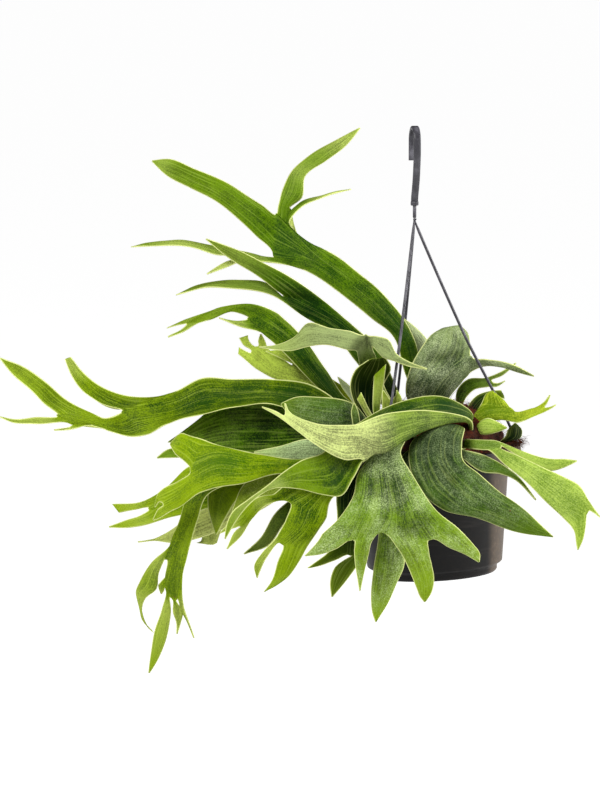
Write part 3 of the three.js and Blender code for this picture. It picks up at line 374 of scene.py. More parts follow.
"frond_back_small": ["grey", 1, 0.08, [[
  [440,424,36, 450,426,36], [446,406,62, 462,408,62], [452,414,88, 466,418,88],
   [458,440,104, 470,442,104],
  [464,464,110]]]]
}


COLUMNS = 8          # columns of the mesh for each tip of a frond
ROW_STEP = 3.4       # length of a mesh row along a frond
STALK_REACH = 40.0   # how far from its foot a stalk is thicker
EDGE_TAPER = 1.6     # distance from the edge over which a blade thickens
RIPPLE_HEIGHT = 0.55
RIPPLE_LENGTH = 5.3
RIPPLE_FADE = 6.0    # distance from the edge over which the ripple dies away
WIDTH_PASSES = 16    # rounds of evening out the width at forks


# ---- shader nodes ---------------------------------------------------------
class Value:
    """A socket of a material. Arithmetic on it adds Math nodes."""

    def __init__(self, net, socket):
        self.net = net
        self.socket = socket

    def math(self, operation, *others):
        return self.net.add("Math", {"operation": operation}, dict(enumerate((self, *others))))

    def __add__(self, other):
        return self.math("ADD", other)

    def __sub__(self, other):
        return self.math("SUBTRACT", other)

    def __rsub__(self, other):
        return self.net.add("Math", {"operation": "SUBTRACT"}, {0: other, 1: self})

    def __mul__(self, other):
        return self.math("MULTIPLY", other)

    __radd__ = __add__
    __rmul__ = __mul__

    def rise(self, low, high):
        """0 below low, 1 above high, smooth between; falls instead where low is the larger."""
        flip = low > high
        low, high = min(low, high), max(low, high)
        settings = {"interpolation_type": "SMOOTHSTEP"}
        out = self.net.add("MapRange", settings, {0: self, 1: low, 2: high})
        return 1 - out if flip else out


class Net:
    """A material being wired: add makes any node, the rest are its common uses."""

    def __init__(self, name):
        self.material = bpy.data.materials.new(name)
        self.material.use_nodes = True
        self.tree = self.material.node_tree
        self.tree.nodes.clear()
        self.place = self.add("TexCoord", out="Object")

    def add(self, kind, settings=None, inputs=None, out=0):
        node = self.tree.nodes.new("ShaderNode" + kind)
        for key, value in (settings or {}).items():
            setattr(node, key, value)
        for key, value in (inputs or {}).items():
            if isinstance(value, Value):
                self.tree.links.new(value.socket, node.inputs[key])
            else:
                node.inputs[key].default_value = value
        return Value(self, node.outputs[out])

    def attribute(self, name):
        return self.add("Attribute", {"attribute_name": name}, out="Fac")

    def noise(self, scale, detail=3.0, rough=0.55):
        inputs = {"Vector": self.place, "Scale": scale, "Detail": detail, "Roughness": rough}
        return self.add("TexNoise", None, inputs)

    def cells(self, scale):
        return self.add("TexVoronoi", None, {"Vector": self.place, "Scale": scale}, "Distance")

    def part(self, vector, axis):
        return self.add("SeparateXYZ", None, {0: vector}, axis)

    def vector(self, x, y, z):
        return self.add("CombineXYZ", None, {0: x, 1: y, 2: z})

    def mix(self, share, first, second):
        return self.add("Mix", {"data_type": "RGBA"}, {0: share, 6: first, 7: second}, 2)

    def bump(self, height, distance, strength=1.0, normal=None):
        inputs = {"Height": height, "Distance": distance, "Strength": strength}
        if normal:
            inputs["Normal"] = normal
        return self.add("Bump", None, inputs)

    def finish(self, **sockets):
        inputs = {key.replace("_", " "): value for key, value in sockets.items()}
        shader = self.add("BsdfPrincipled", None, inputs)
        output = self.tree.nodes.new("ShaderNodeOutputMaterial")
        self.tree.links.new(shader.socket, output.inputs["Surface"])
        return self.material


def paint(colour):
    """An sRGB colour of three numbers up to 255 as Blender's linear colour."""
    parts = [c / 255 for c in colour]
    linear = [c / 12.92 if c < 0.04045 else ((c + 0.055) / 1.055) ** 2.4 for c in parts]
    return (*linear, 1.0)


# ---- meshes ---------------------------------------------------------------
def make_piece(name, points, faces, material, values=None, smooth=True):
    """A mesh object from points in millimetres and rows of four corners; a corner that is
    repeated makes a triangle. values are numbers a point carries into its material."""
    mesh = bpy.data.meshes.new(name)
    mesh.vertices.add(len(points))
    mesh.vertices.foreach_set("co", (np.asarray(points) * MM).ravel())
    keep = np.ones(faces.shape, bool)
    keep[:, 3] = faces[:, 3] != faces[:, 2]
    totals = keep.sum(1)
    corners = faces[keep]
    mesh.loops.add(len(corners))
    mesh.loops.foreach_set("vertex_index", corners.astype(np.int32))
    mesh.polygons.add(len(faces))
    starts = np.concatenate(([0], np.cumsum(totals)[:-1]))
    mesh.polygons.foreach_set("loop_start", starts.astype(np.int32))
    mesh.polygons.foreach_set("use_smooth", np.full(len(faces), smooth))
    for key, numbers in (values or {}).items():
        layer = mesh.attributes.new(key, "FLOAT", "POINT")
        layer.data.foreach_set("value", np.asarray(numbers, np.float32))
    mesh.update(calc_edges=True)
    mesh.validate()
    mesh.materials.append(material)
    piece = bpy.data.objects.new(name, mesh)
    bpy.context.scene.collection.objects.link(piece)
    return piece


def grid_faces(rows, columns, closed=False):
    """Corners of the faces of a grid of rows by columns of points, row after row."""
    k = np.arange(rows - 1)[:, None]
    j = np.arange(columns if closed else columns - 1)[None, :]
    a = k * columns + j
    b = k * columns + (j + 1) % columns
    return np.stack([a, b, b + columns, a + columns], -1).reshape(-1, 4)


def tube_faces(rows, count, flip=False):
    """Faces of rows rings of count points, closed by fans from the two points after them."""
    j = np.arange(count)
    a, b = (j, (j + 1) % count) if flip else ((j + 1) % count, j)
    last = (rows - 1) * count
    pole = np.full(count, rows * count)
    wall = grid_faces(rows, count, True)
    caps = [np.stack([a, b, pole, pole], -1),
            np.stack([last + b, last + a, pole + 1, pole + 1], -1)]
    return np.concatenate([wall[:, ::-1] if flip else wall, *caps])


def normed(vectors):
    return vectors / np.linalg.norm(vectors, axis=-1, keepdims=True)


def circle(count):
    """Corners of a circle of radius 1."""
    turn = np.linspace(0, 2 * math.pi, count, endpoint=False)
    return np.stack([np.cos(turn), np.sin(turn)], -1)


def turned(profile, segments, bumps=None):
    """A profile of (radius, height) carried once round the pot's axis: the point at turn w is
    (radius cos w, radius sin w, height), then leaned by TILT and set on RIM."""
    profile = np.asarray(profile, float)
    turn = np.linspace(0, 2 * math.pi, segments, endpoint=False)
    radius = profile[:, 0][:, None] * np.ones(segments)
    height = profile[:, 1][:, None] * np.ones(segments)
    if bumps is not None:
        radius, height = bumps(radius, height, turn)
    points = np.stack([radius * np.cos(turn), radius * np.sin(turn), height], -1).reshape(-1, 3)
    poles = np.array([[0, 0, profile[0, 1]], [0, 0, profile[-1, 1]]])
    return lean(np.concatenate([points, poles])), tube_faces(len(profile), segments)


def lean(points):
    """Points of the pot's own frame turned about Y by TILT and moved to RIM."""
    cos, sin = math.cos(TILT), math.sin(TILT)
    x = points[..., 0] * cos - points[..., 2] * sin
    z = points[..., 0] * sin + points[..., 2] * cos
    return np.stack([x, points[..., 1], z], -1) + RIM


def swept(path, sections):
    """A closed bar: section k, an array of (side, up) pairs, stands across the path at its
    k-th point, and both ends are capped. side stays level with the path's first side."""
    path = np.asarray(path, float)
    ahead = normed(np.gradient(path, axis=0))
    side = normed(np.cross(ahead, SWEEP_SIDE))
    up = np.cross(side, ahead)
    sections = np.broadcast_to(sections, (len(path), *np.shape(sections)[-2:]))
    rings = path[:, None] + sections[..., :1] * side[:, None] + sections[..., 1:] * up[:, None]
    points = np.concatenate([rings.reshape(-1, 3), path[:1], path[-1:]])
    return points, tube_faces(len(path), rings.shape[1], flip=True)


def join(parts):
    """Several (points, faces) as one."""
    shift = np.cumsum([0] + [len(points) for points, _ in parts[:-1]])
    return (np.concatenate([points for points, _ in parts]),
            np.concatenate([faces + s for (_, faces), s in zip(parts, shift)]))


def curve_through(points, count):
    """A smooth curve through the points, as count points spaced evenly by its parameter."""
    points = np.asarray(points, float)
    ends = [2 * points[0] - points[1], 2 * points[-1] - points[-2]]
    line = np.vstack([ends[0], points, ends[1]])
    t = np.linspace(0, len(points) - 1 - 1e-9, count)
    k = t.astype(int)
    t = (t - k)[:, None]
    p, q, r, s = (line[k + i] for i in range(4))
    return 0.5 * (2 * q + (r - p) * t + (2 * p - 5 * q + 4 * r - s) * t**2
                  + (3 * q - p - 3 * r + s) * t**3)


# ---- fronds ---------------------------------------------------------------
def place(numbers):
    """Squares right, squares down and depth in mm as points in mm: the ray through the
    square, from SHEET_FAR away, cut at that depth."""
    a, b, y = np.asarray(numbers, float).reshape(-1, 3).T
    rise = -(b - 400) * SQUARE / SHEET_FAR
    cos, sin = math.cos(SHEET_RISE), math.sin(SHEET_RISE)
    z = (rise * (SHEET_FAR + y * cos) - y * sin) / (cos + rise * sin)
    x = (a - 300) * SQUARE * (SHEET_FAR + y * cos - z * sin) / SHEET_FAR
    return np.stack([x, y, z], -1) + SHEET_MIDDLE


def tip_count(ribbon):
    """The tips of a ribbon, its branches' tips among them."""
    return sum(tip_count(branch) for branch in ribbon[2]) if len(ribbon) > 2 else 1


def fork_shares(ribbon):
    """The columns that each branch of a ribbon takes over from it."""
    return [COLUMNS * tip_count(branch) for branch in ribbon[2]] if len(ribbon) > 2 else []


def unit(v):
    return v / max(np.linalg.norm(v), 1e-9)


def spread_row(points, columns, ahead, cup):
    """middle + half u + bulge (1 - u u) for u from -1 to 1: a parabola across the frond."""
    middle = (points[0] + points[-1]) / 2
    half = (points[-1] - points[0]) / 2
    bulge = 2 * cup * np.linalg.norm(half) * unit(np.cross(half, ahead))
    if len(points) == 3:
        bulge = points[1] - middle
    u = np.linspace(-1, 1, columns + 1)[:, None]
    return middle + half * u + bulge * (1 - u * u)


def fork_row(points, notches, shares):
    """Straight from edge to notch to notch to edge."""
    stops = [points[0], *(place(notch)[0] for notch in notches), points[-1]]
    out = [stops[0][None]]
    for share, start, end in zip(shares, stops, stops[1:]):
        out.append(start + (end - start) * np.arange(1, share + 1)[:, None] / share)
    return np.concatenate(out)


def key_rows(ribbon, columns, cup, first):
    """The rows a ribbon is drawn with, each as columns + 1 points, after the row of its parent
    that it starts from. The last row before a fork runs from notch to notch."""
    plain = [place(row) for row in ribbon[0]]
    centres = [(points[0] + points[-1]) / 2 for points in plain]
    shares = fork_shares(ribbon)
    rows = [] if first is None else [first]
    start = None if first is None else (first[0] + first[-1]) / 2
    across = np.array([1.0, 0, 0]) if first is None else first[-1] - first[0]
    for k, points in enumerate(plain):
        before = centres[k - 1] if k else start
        after = centres[min(k + 1, len(plain) - 1)]
        ahead = after - (centres[k] if before is None else before)
        if len(shares) > 1 and k == len(plain) - 1:
            rows.append(fork_row(points, ribbon[1], shares))
        elif len(points) == 1:
            side = 0.7 * unit(across)
            tip = np.array([points[0] - side, points[0] + side])
            rows.append(spread_row(tip, columns, ahead, 0))
        else:
            rows.append(spread_row(points, columns, ahead, cup))
        if len(points) > 1:
            across = points[-1] - points[0]
    return rows


def tangent(before, here, after, span):
    """Tangent at here of a curve through unevenly spaced points, scaled to span."""
    if before is None:
        return after - here
    if after is None:
        return here - before
    back = np.maximum(np.linalg.norm(here - before, axis=1, keepdims=True), 1e-3)
    on = np.maximum(np.linalg.norm(after - here, axis=1, keepdims=True), 1e-3)
    return ((here - before) * on / back + (after - here) * back / on) * span / (back + on)


def grow(sheets, ribbon, cup, parent=None, first_column=0, length=0.0):
    """Adds a ribbon and its branches to sheets: between two key rows each column is a cubic
    whose end tangents come from its neighbours, so the blade runs smoothly through them. A
    branch leaves its notch sideways, by the cube of the nearness to it, which rounds it."""
    columns = COLUMNS * tip_count(ribbon)
    rows = key_rows(ribbon, columns, cup, parent["row"] if parent else None)
    before = [parent["behind"] if parent else None, *rows[:-1]]
    lines, lengths = [rows[0][None]], [np.array([length])]
    for k, (here, after) in enumerate(zip(rows, rows[1:])):
        span = np.linalg.norm(after - here, axis=1, keepdims=True)
        m = tangent(before[k], here, after, span)
        n = tangent(here, after, rows[k + 2] if k + 2 < len(rows) else None, span)
        if parent and k == 0:
            j = np.arange(columns + 1)[:, None] / columns
            low = (1 - j) ** 3 * parent["inner"][0]
            high = j**3 * parent["inner"][1]
            m = m * (1 - np.maximum(low, high)) + unit(here[-1] - here[0]) * span * (low - high)
        middle = columns // 2
        steps = max(2, math.ceil(float(span[middle, 0]) / ROW_STEP))
        t = (np.arange(1, steps + 1) / steps)[:, None, None]
        lines.append(here * (1 - 3 * t**2 + 2 * t**3) + after * (3 * t**2 - 2 * t**3)
                     + m * (t - 2 * t**2 + t**3) + n * (t**3 - t**2))
        lengths.append(length + float(span[middle, 0]) * t[:, 0, 0])
        length += float(span[middle, 0])
    points = np.concatenate(lines)
    sheets.append({"points": points, "along": np.concatenate(lengths), "column": first_column})
    shares = fork_shares(ribbon)
    start = 0
    for b, share in enumerate(shares):
        cut = slice(start, start + share + 1)
        inner = (b > 0, b < len(shares) - 1)
        child = {"row": rows[-1][cut], "behind": rows[-2][cut], "inner": inner}
        grow(sheets, ribbon[2][b], cup, child, first_column + start, length)
        start += share


def welded(sheets, total):
    """The sheets of one ribbon as one mesh: points and quads, then for each point how far it
    lies across and along, its distance from the edge and the width there."""
    points, quads, carried = [], [], []
    shift = 0
    for sheet in sheets:
        grid = sheet["points"]
        rows, columns = grid.shape[:2]
        steps = np.linalg.norm(np.diff(grid, axis=1), axis=2)
        left = np.concatenate([np.zeros((rows, 1)), np.cumsum(steps, axis=1)], axis=1)
        points.append(grid.reshape(-1, 3))
        quads.append(grid_faces(rows, columns) + shift)
        carried.append(np.stack([
            np.tile((sheet["column"] + np.arange(columns)) / total, rows),
            np.repeat(sheet["along"], columns),
            np.minimum(left, left[:, -1:] - left).ravel(),
            np.repeat(left[:, -1], columns),
        ]))
        shift += rows * columns
    points = np.round(np.concatenate(points), 4)
    points, place_of = np.unique(points, axis=0, return_inverse=True)
    place_of = place_of.ravel()
    merged = np.zeros((4, len(points)))
    merged[:, place_of] = np.concatenate(carried, axis=1)
    return points, place_of[np.concatenate(quads)], merged


def evened(values, quads):
    """Values of the points, each replaced WIDTH_PASSES times by the mean of its quads."""
    shared = np.bincount(quads.ravel(), minlength=len(values))
    for _ in range(WIDTH_PASSES):
        spread = np.repeat(values[quads].mean(1), 4)
        values = np.bincount(quads.ravel(), spread, len(values)) / np.maximum(shared, 1)
    return values


def point_normals(points, quads):
    normal = np.zeros_like(points)
    p, q, r, s = (points[quads[:, i]] for i in range(4))
    cross = np.cross(r - p, s - q)
    for i in range(4):
        np.add.at(normal, quads[:, i], cross)
    return normal / np.maximum(np.linalg.norm(normal, axis=1, keepdims=True), 1e-9)


def shell_faces(quads, count):
    """The quads, the same quads turned over for the points count further on, and a wall
    between them along every side that only one quad has."""
    keys = np.concatenate([quads[:, [i, (i + 1) % 4]] for i in range(4)])
    keys = keys[keys[:, 0] != keys[:, 1]].astype(np.int64)
    there = keys[:, 0] * count + keys[:, 1]
    back = keys[:, 1] * count + keys[:, 0]
    rim = keys[~np.isin(there, back)]
    walls = np.stack([rim[:, 0] + count, rim[:, 1] + count, rim[:, 1], rim[:, 0]], -1)
    return np.concatenate([quads, quads[:, ::-1] + count, walls])


def frond_surface(face, cup, ribbon):
    """Both faces and the edge of one ribbon with its branches. Every grid point is pushed
    along the blade's normal by half the thickness, which thins out towards the edge, and by a
    low ripple that fades away from the edge."""
    sheets = []
    grow(sheets, ribbon, cup)
    points, quads, carried = welded(sheets, COLUMNS * tip_count(ribbon))
    across, along, edge, wide = carried
    normal = point_normals(points, quads)
    foot = place([*ribbon[0][0][:3], *ribbon[0][0][-3:]]).mean(0)
    near = np.clip(1 - np.linalg.norm(points - foot, axis=1) / STALK_REACH, 0, 1)
    thick = (BLADE + STALK_EXTRA * near) * (0.4 + 0.6 * (1 - np.exp(-edge / EDGE_TAPER)))
    ripple = RIPPLE_HEIGHT * np.sin(along / RIPPLE_LENGTH + 9 * across)
    ripple = ripple * np.exp(-edge / RIPPLE_FADE) * (1 - near) * np.clip(edge + 0.3, 0, 1)
    points = points + normal * ripple[:, None]
    push = normal * thick[:, None] / 2
    front = 1.0 if face > 0 else 0.0
    both = {"across": across, "along": along, "edge": edge, "wide": evened(wide, quads),
            "grown": along / along.max()}
    values = {key: np.tile(numbers, 2) for key, numbers in both.items()}
    values["upper"] = np.repeat([front, 1 - front], len(points))
    return np.concatenate([points + push, points - push]), shell_faces(quads, len(points)), values


# ---- finishes -------------------------------------------------------------
# What sets a kind of frond apart: its deep and pale upper colours, its underside, how much
# white felt it carries and how far its tips turn yellow.
LOOKS = {
    "dark": ((4, 32, 0), (80, 116, 6), (146, 160, 90), 0.26, 0.20, 0.2),
    "mid": ((12, 48, 0), (82, 112, 0), (160, 174, 84), 0.06, 0.40, 0.5),
    "tall": ((18, 52, 0), (76, 108, 0), (166, 180, 90), 0.08, 0.25, 0.9),
    "olive": ((20, 54, 0), (104, 128, 0), (170, 180, 94), 0.07, 0.35, 0.4),
    "sunny": ((44, 80, 0), (120, 144, 2), (174, 184, 96), 0.07, 0.35, 0.3),
    "light": ((44, 80, 0), (138, 160, 36), (200, 210, 120), 0.16, 0.30, 0.0),
    "grey": ((12, 34, 2), (102, 120, 70), (180, 192, 146), 0.85, 0.10, 0.0),
    "yellow": ((30, 68, 0), (148, 164, 8), (158, 178, 66), 0.04, 0.45, 0.0),
    "glossy": ((2, 32, 0), (50, 82, 0), (144, 158, 72), 0.03, 0.25, 0.35),
    "furred": ((2, 28, 0), (94, 126, 6), (188, 208, 142), 0.84, 0.45, 0.0),
    "streaked": ((1, 22, 0), (52, 82, 0), (166, 188, 128), 0.46, 0.15, 0.0),
    # Painted shade: inner and shade are near-black greens for blades that lie in shadow deep in the
    # plant.
    "inner": ((1, 12, 0), (14, 30, 0), (60, 78, 22), 0.02, 0.05, 0.0),
    "shade": ((1, 12, 0), (24, 46, 0), (76, 100, 30), 0.02, 0.20, 0.0),
    "curled": ((12, 46, 0), (88, 116, 0), (186, 198, 120), 0.14, 0.30, 0.3),
    "wavy": ((10, 40, 0), (92, 114, 36), (134, 148, 92), 0.40, 0.10, 0.0),
    "young": ((80, 108, 0), (160, 176, 40), (176, 190, 100), 0.08, 0.45, 0.0),
    "pale": ((78, 110, 16), (154, 178, 72), (190, 206, 130), 0.26, 0.20, 0.0),
}
# Fronds that look unlike their tint in the solids.
OWN_LOOKS = {
    "frond_tall": "tall",
    "frond_high_left": "glossy",
    "frond_ragged": "yellow",
    "frond_wavy": "wavy",
    "frond_long_left": "olive",
    "frond_dark_left": "dark",
    "frond_broad_left": "sunny",
    "frond_left_twin": "sunny",
    "frond_left_thin": "light",
    "frond_drooping": "olive",
    "frond_low_left": "olive",
    "frond_curled": "curled",
    "frond_front": "furred",
    "frond_front_right": "streaked",
    "frond_right_low": "pale",
    "frond_young_yellow": "young",
    "frond_young_pale": "pale",
    # Painted shade: the next two take the near-black shade look.
    "frond_young_dark": "shade",
    "frond_under_front": "shade",
    "frond_right_dark": "streaked",
    "frond_inner_left": "streaked",
    # Painted shade: the next two take the near-black inner look.
    "shield_inner": "inner",
    "shield_right": "inner",
    "shield_front": "olive",
    "cut_stalk_tall": "mid",
    "frond_under_grey": "furred",
}


def frond_finish(name, look, tips, settings):
    """Upper face: deep and pale green in soft streaks, lengthwise veins, a painted highlight as a
    pale line along the edge, yellow towards the tips, pale where a slim branch turns over, and
    white felt as fine speckles, with painted shade towards the crown and along the middle of the
    blade.
    Underside: pale, felted. A look holds the deep and pale green, the underside's colour, then
    how felted, how yellow and how turned over the frond is."""
    deep, pale, under, felt, yellow, turned_over = look
    net = Net(name)
    across = net.attribute("across")
    along = net.attribute("along")
    edge = net.attribute("edge")
    upper = net.attribute("upper").rise(0.35, 0.65)
    grown = net.attribute("grown")
    slim = net.attribute("wide").rise(19, 9) * grown.rise(0.42, 0.60) * grown.rise(1.02, 0.82)
    drift = net.noise(18, 2.0, 0.5)

    def streaks(count, length, detail, low, high):
        """Noise drawn out along the frond: count streaks to a tip, each about length mm."""
        at = net.vector(across * (count * tips) + drift * 1.5, along * (1 / length), drift * 2)
        inputs = {"Vector": at, "Scale": 1.0, "Detail": detail}
        return net.add("TexNoise", None, inputs).rise(low, high)

    def shaded(share, depth):
        """The underside's colour, from depth times as bright up to itself."""
        return net.mix(share, paint([depth * c for c in under]), paint(under))

    clouds = net.noise(26, 5.0, 0.6).rise(0.32, 0.68)
    grain = net.noise(760, 3.0, 0.7).rise(0.36, 0.64)
    bands = streaks(3.0, 30.0, 3.0, 0.30, 0.70)
    veins = streaks(17.0, 70.0, 2.0, 0.36, 0.66) * settings.veins
    # Painted shade: the blade darkens towards its foot, where the fronds crowd round the crown.
    crown_shade = grown.rise(0.75, 0.0) * (0.5 + 0.5 * upper)
    # Painted light and shade: the tone rises towards the edge, so the middle of the blade, along
    # its fold, stays darker.
    lit_edges = edge.rise(15.0, 2.0)
    tone = 0.36 * clouds + 0.14 * bands + 0.24 * veins + 0.30 * grain + 0.16 * lit_edges - 0.34 * crown_shade
    tone = tone.rise(0.17, 0.88)
    green = net.mix(tone, paint(deep), paint(pale))
    ends = grown.rise(0.55, 1.0) * yellow + edge.rise(4.5, 0.6) * (0.10 + 0.20 * yellow)
    green = net.mix(ends, green, paint((124, 146, 14)))
    green = net.mix(veins.rise(0.70, 1.0) * 0.09, green, paint((186, 198, 108)))
    back = shaded(tone, 0.52)
    back = net.mix(grown.rise(0.65, 1.0) * 0.35, back, paint((160, 182, 60)))
    back = net.mix(grown.rise(0.48, 0.36) * 0.85, back, green)
    green = net.mix(slim * turned_over, green, shaded(tone, 0.7))
    colour = net.mix(net.attribute("dusky") * 0.75, net.mix(upper, back, green), paint((10, 36, 0)))
    worn = net.noise(34, 5.0, 0.66).rise(0.36, 0.64)
    speckle = net.noise(900, 2.0, 0.8).rise(0.40, 0.66)
    felted = shaded(speckle, 0.72)
    haze = (0.12 + 0.88 * worn) * (0.35 + 0.65 * speckle)
    haze = haze * (net.attribute("hoary") * 0.6 + felt * settings.felt)
    haze = haze * (1 - upper * grown.rise(0.78, 1.0) * 0.8)
    colour = net.mix(haze * 0.85, colour, felted)
    # Painted highlight: a thin pale line along the edge, where the blade's edge catches the light.
    rim = edge.rise(1.1, 0.4)
    colour = net.mix(rim * 0.8, colour, paint((206, 212, 138)))
    spot = net.cells(48).rise(0.075, 0.03) * net.noise(19, 1.0).rise(0.60, 0.66)
    colour = net.mix(spot * 0.8, colour, paint((84, 60, 24)))
    roughness = 0.52 + 0.12 * clouds + 0.16 * haze - 0.06 * veins
    height = veins * 0.6 + bands * 0.4 + speckle * (0.30 * felt)
    fine = net.bump(net.noise(520, 3.0, 0.6), 0.00012, 0.35)
    normal = net.bump(height, 0.0004, 0.6, fine)
    return net.finish(Base_Color=colour, Roughness=roughness, Normal=normal,
                      Specular_IOR_Level=0.04)


def pot_finish(settings):
    """Black moulded plastic: faint flow marks, dust on what faces up, soft scuffs, and painted
    light down its +X side.
    """
    net = Net("pot_plastic")
    flow = net.noise(9, 3.0, 0.5)
    dust = net.noise(240, 4.0, 0.65).rise(0.42, 0.75)
    high = net.part(net.add("NewGeometry", out="Normal"), 2).rise(0.2, 0.95)
    colour = net.mix(flow, paint((6, 6, 6)), paint((15, 14, 13)))
    # Painted light: the strip facing +X is lit grey-brown in the colour itself, in the same warm
    # grey-brown as the dust.
    lit_side = net.part(net.place, 0).rise(0.064, 0.073)
    dust_and_lit_side = dust * (0.03 + 0.3 * high) + lit_side * (0.44 + 0.34 * dust)
    colour = net.mix(dust_and_lit_side, colour, paint((104, 90, 76)))
    stretched = net.vector(*(net.part(net.place, i) * k for i, k in enumerate((30, 30, 260))))
    inputs = {"Vector": stretched, "Scale": 1.0, "Detail": 3.0}
    scuff = net.add("TexNoise", None, inputs).rise(0.55, 0.75)
    colour = net.mix(scuff * 0.07, colour, paint((92, 86, 80)))
    roughness = settings.roughness + 0.14 * flow + 0.1 * dust
    normal = net.bump(net.noise(900, 2.0) + scuff * 0.6, 0.00008, 0.3)
    return net.finish(Base_Color=colour, Roughness=roughness, Normal=normal,
                      Specular_IOR_Level=0.14)


def coir_finish(name, dark, light):
    """Matted red-brown fibre: crossed streaks, deep crumbs, and near-black patches that are partly
    damp coir and partly painted shade.
    """
    net = Net(name)
    streaks = net.noise(320, 5.0, 0.7)
    crumbs = net.cells(150)
    patches = net.noise(45, 3.0, 0.6)
    colour = net.mix(streaks.rise(0.32, 0.72), paint(dark), paint(light))
    # Near-black patches: partly damp coir, partly painted shade where the mound lies in shadow.
    colour = net.mix(patches.rise(0.38, 0.62) * 0.8, colour, paint((20, 9, 4)))
    colour = net.mix(crumbs.rise(0.75, 0.2) * 0.35, colour, paint((24, 12, 7)))
    normal = net.bump(streaks + crumbs, 0.0012, 0.9)
    return net.finish(Base_Color=colour, Roughness=0.78 + 0.2 * streaks, Normal=normal,
                      Specular_IOR_Level=0.2)


def hanger_finish(settings):
    """Satin grey plastic with a slight moulded grain and rubbed, lighter patches."""
    net = Net("hanger_plastic")
    grain = net.noise(700, 3.0, 0.6)
    rubbed = net.noise(60, 3.0, 0.6).rise(0.48, 0.74)
    colour = net.mix(grain, paint((30, 29, 33)), paint((52, 51, 57)))
    colour = net.mix(rubbed * 0.4, colour, paint((122, 120, 128)))
    roughness = settings.roughness + 0.12 * grain + 0.1 * rubbed
    normal = net.bump(grain, 0.00006, 0.3)
    return net.finish(Base_Color=colour, Roughness=roughness, Normal=normal, Specular_IOR_Level=0.4)


def floor_finish():
    """Matt white, lit from within away from the plant so that it stays even in the distance."""
    net = Net("floor_plain")
    soft = net.noise(1.5, 2.0)
    colour = net.mix(soft * 0.2, (0.82, 0.82, 0.82, 1.0), (0.79, 0.79, 0.79, 1.0))
    ends = {0: net.place, 1: (0.0, 0.0, FLOOR_LEVEL)}
    far = net.add("VectorMath", {"operation": "DISTANCE"}, ends, "Value")
    glow = net.mix(far.rise(0.7, 1.4), (0.08, 0.08, 0.08, 1.0), (0.96, 0.96, 0.96, 1.0))
    return net.finish(Base_Color=colour, Roughness=0.9 + 0.02 * soft, Specular_IOR_Level=0.1,
                      Emission_Color=glow, Emission_Strength=1.0)


# ---- root ball ------------------------------------------------------------
FIBRE_RADII = (0.14, 0.30)
RIM_FIBRES = 420


def mound_height(radius):
    """Height of the mound's skin above the rim at a distance from its axis."""
    reach = np.clip(radius / MOUND_RADIUS, 0, 1) ** (1 / 0.8)
    return -2 + (MOUND_HEIGHT + 2) * np.sqrt(np.maximum(1 - reach**2, 0))


def mound_surface():
    """Radius R cos(w)^0.8 and height H sin(w) for w from the rim up to the top, over a short
    plug that goes down into the pot, with waves of a few sizes for the clods."""
    w = np.linspace(0, math.pi / 2 - 0.01, 46)
    dome = np.stack([MOUND_RADIUS * np.cos(w) ** 0.8, -2 + (MOUND_HEIGHT + 2) * np.sin(w)], -1)
    plug = np.array([[1.0, -MOUND_DEPTH], [64.0, -MOUND_DEPTH], [67.6, -9.0]])
    profile = np.concatenate([plug, dome, [[1.0, MOUND_HEIGHT]]])

    def clods(radius, height, turn):
        lift = np.zeros_like(radius)
        for k, (n, size) in enumerate(((5, 0.9), (9, 0.8), (17, 0.6), (29, 0.45))):
            around = np.sin(n * turn + 1.7 * k + radius / (9.0 - 1.5 * k))
            lift += size * around * np.sin(height / (4.5 - 0.8 * k) + n)
        on_top = np.clip((height + 1) / 8, 0, 1) * np.clip(radius / 20, 0, 1)
        return radius + lift * on_top * 0.6, height + lift * on_top - 1.2 * on_top

    return turned(profile, 150, clods)


def fibre_surface(count, seed, choose):
    """Fibres of coir: each is a bent line of five points, start + t reach + sag + curl, with a
    three-sided section that thins out to its end. choose gives starts, directions, lengths."""
    rng = np.random.default_rng(seed)
    start, ahead, length = choose(rng, count)
    t = np.linspace(0, 1, 5)
    curl = rng.normal(0, 0.30, (count, 3))
    sag = rng.normal(0, 0.25, (count, 1, 3))
    bow = np.sin(math.pi * t)[None, :, None] * curl[:, None] + (t**2)[None, :, None] * sag
    lines = start[:, None] + length[:, None, None] * (t[None, :, None] * ahead[:, None] + bow)
    tangents = normed(np.gradient(lines, axis=1))
    side = normed(np.cross(tangents, rng.normal(0, 1, (count, 1, 3))))
    up = np.cross(side, tangents)
    radius = rng.uniform(*FIBRE_RADII, (count, 1, 1, 1)) * (1 - 0.8 * t)[None, :, None, None]
    corners = circle(3)[None, None]
    ring = corners[..., :1] * side[:, :, None] + corners[..., 1:] * up[:, :, None]
    points = (lines[:, :, None] + radius * ring).reshape(-1, 3)
    wall = grid_faces(5, 3, True)[:, ::-1]
    caps = np.array([[0, 1, 2, 2], [14, 13, 12, 12]])
    one = np.concatenate([wall, caps])
    return points, (one[None] + (15 * np.arange(count))[:, None, None]).reshape(-1, 4)


def fibres_on_mound(rng, count):
    """Fibres strewn evenly over the mound, each sunk a little at its start."""
    turn = rng.uniform(0, 2 * math.pi, count)
    radius = MOUND_RADIUS * 0.985 * np.sqrt(rng.uniform(0.002, 1, count))
    height = mound_height(radius) - 1.6
    start = lean(np.stack([radius * np.cos(turn), radius * np.sin(turn), height], -1))
    heading = rng.uniform(0, 2 * math.pi, count)
    ahead = np.stack([np.cos(heading), np.sin(heading), rng.uniform(-0.15, 0.2, count)], -1)
    return start, ahead, rng.uniform(5, 13, count)


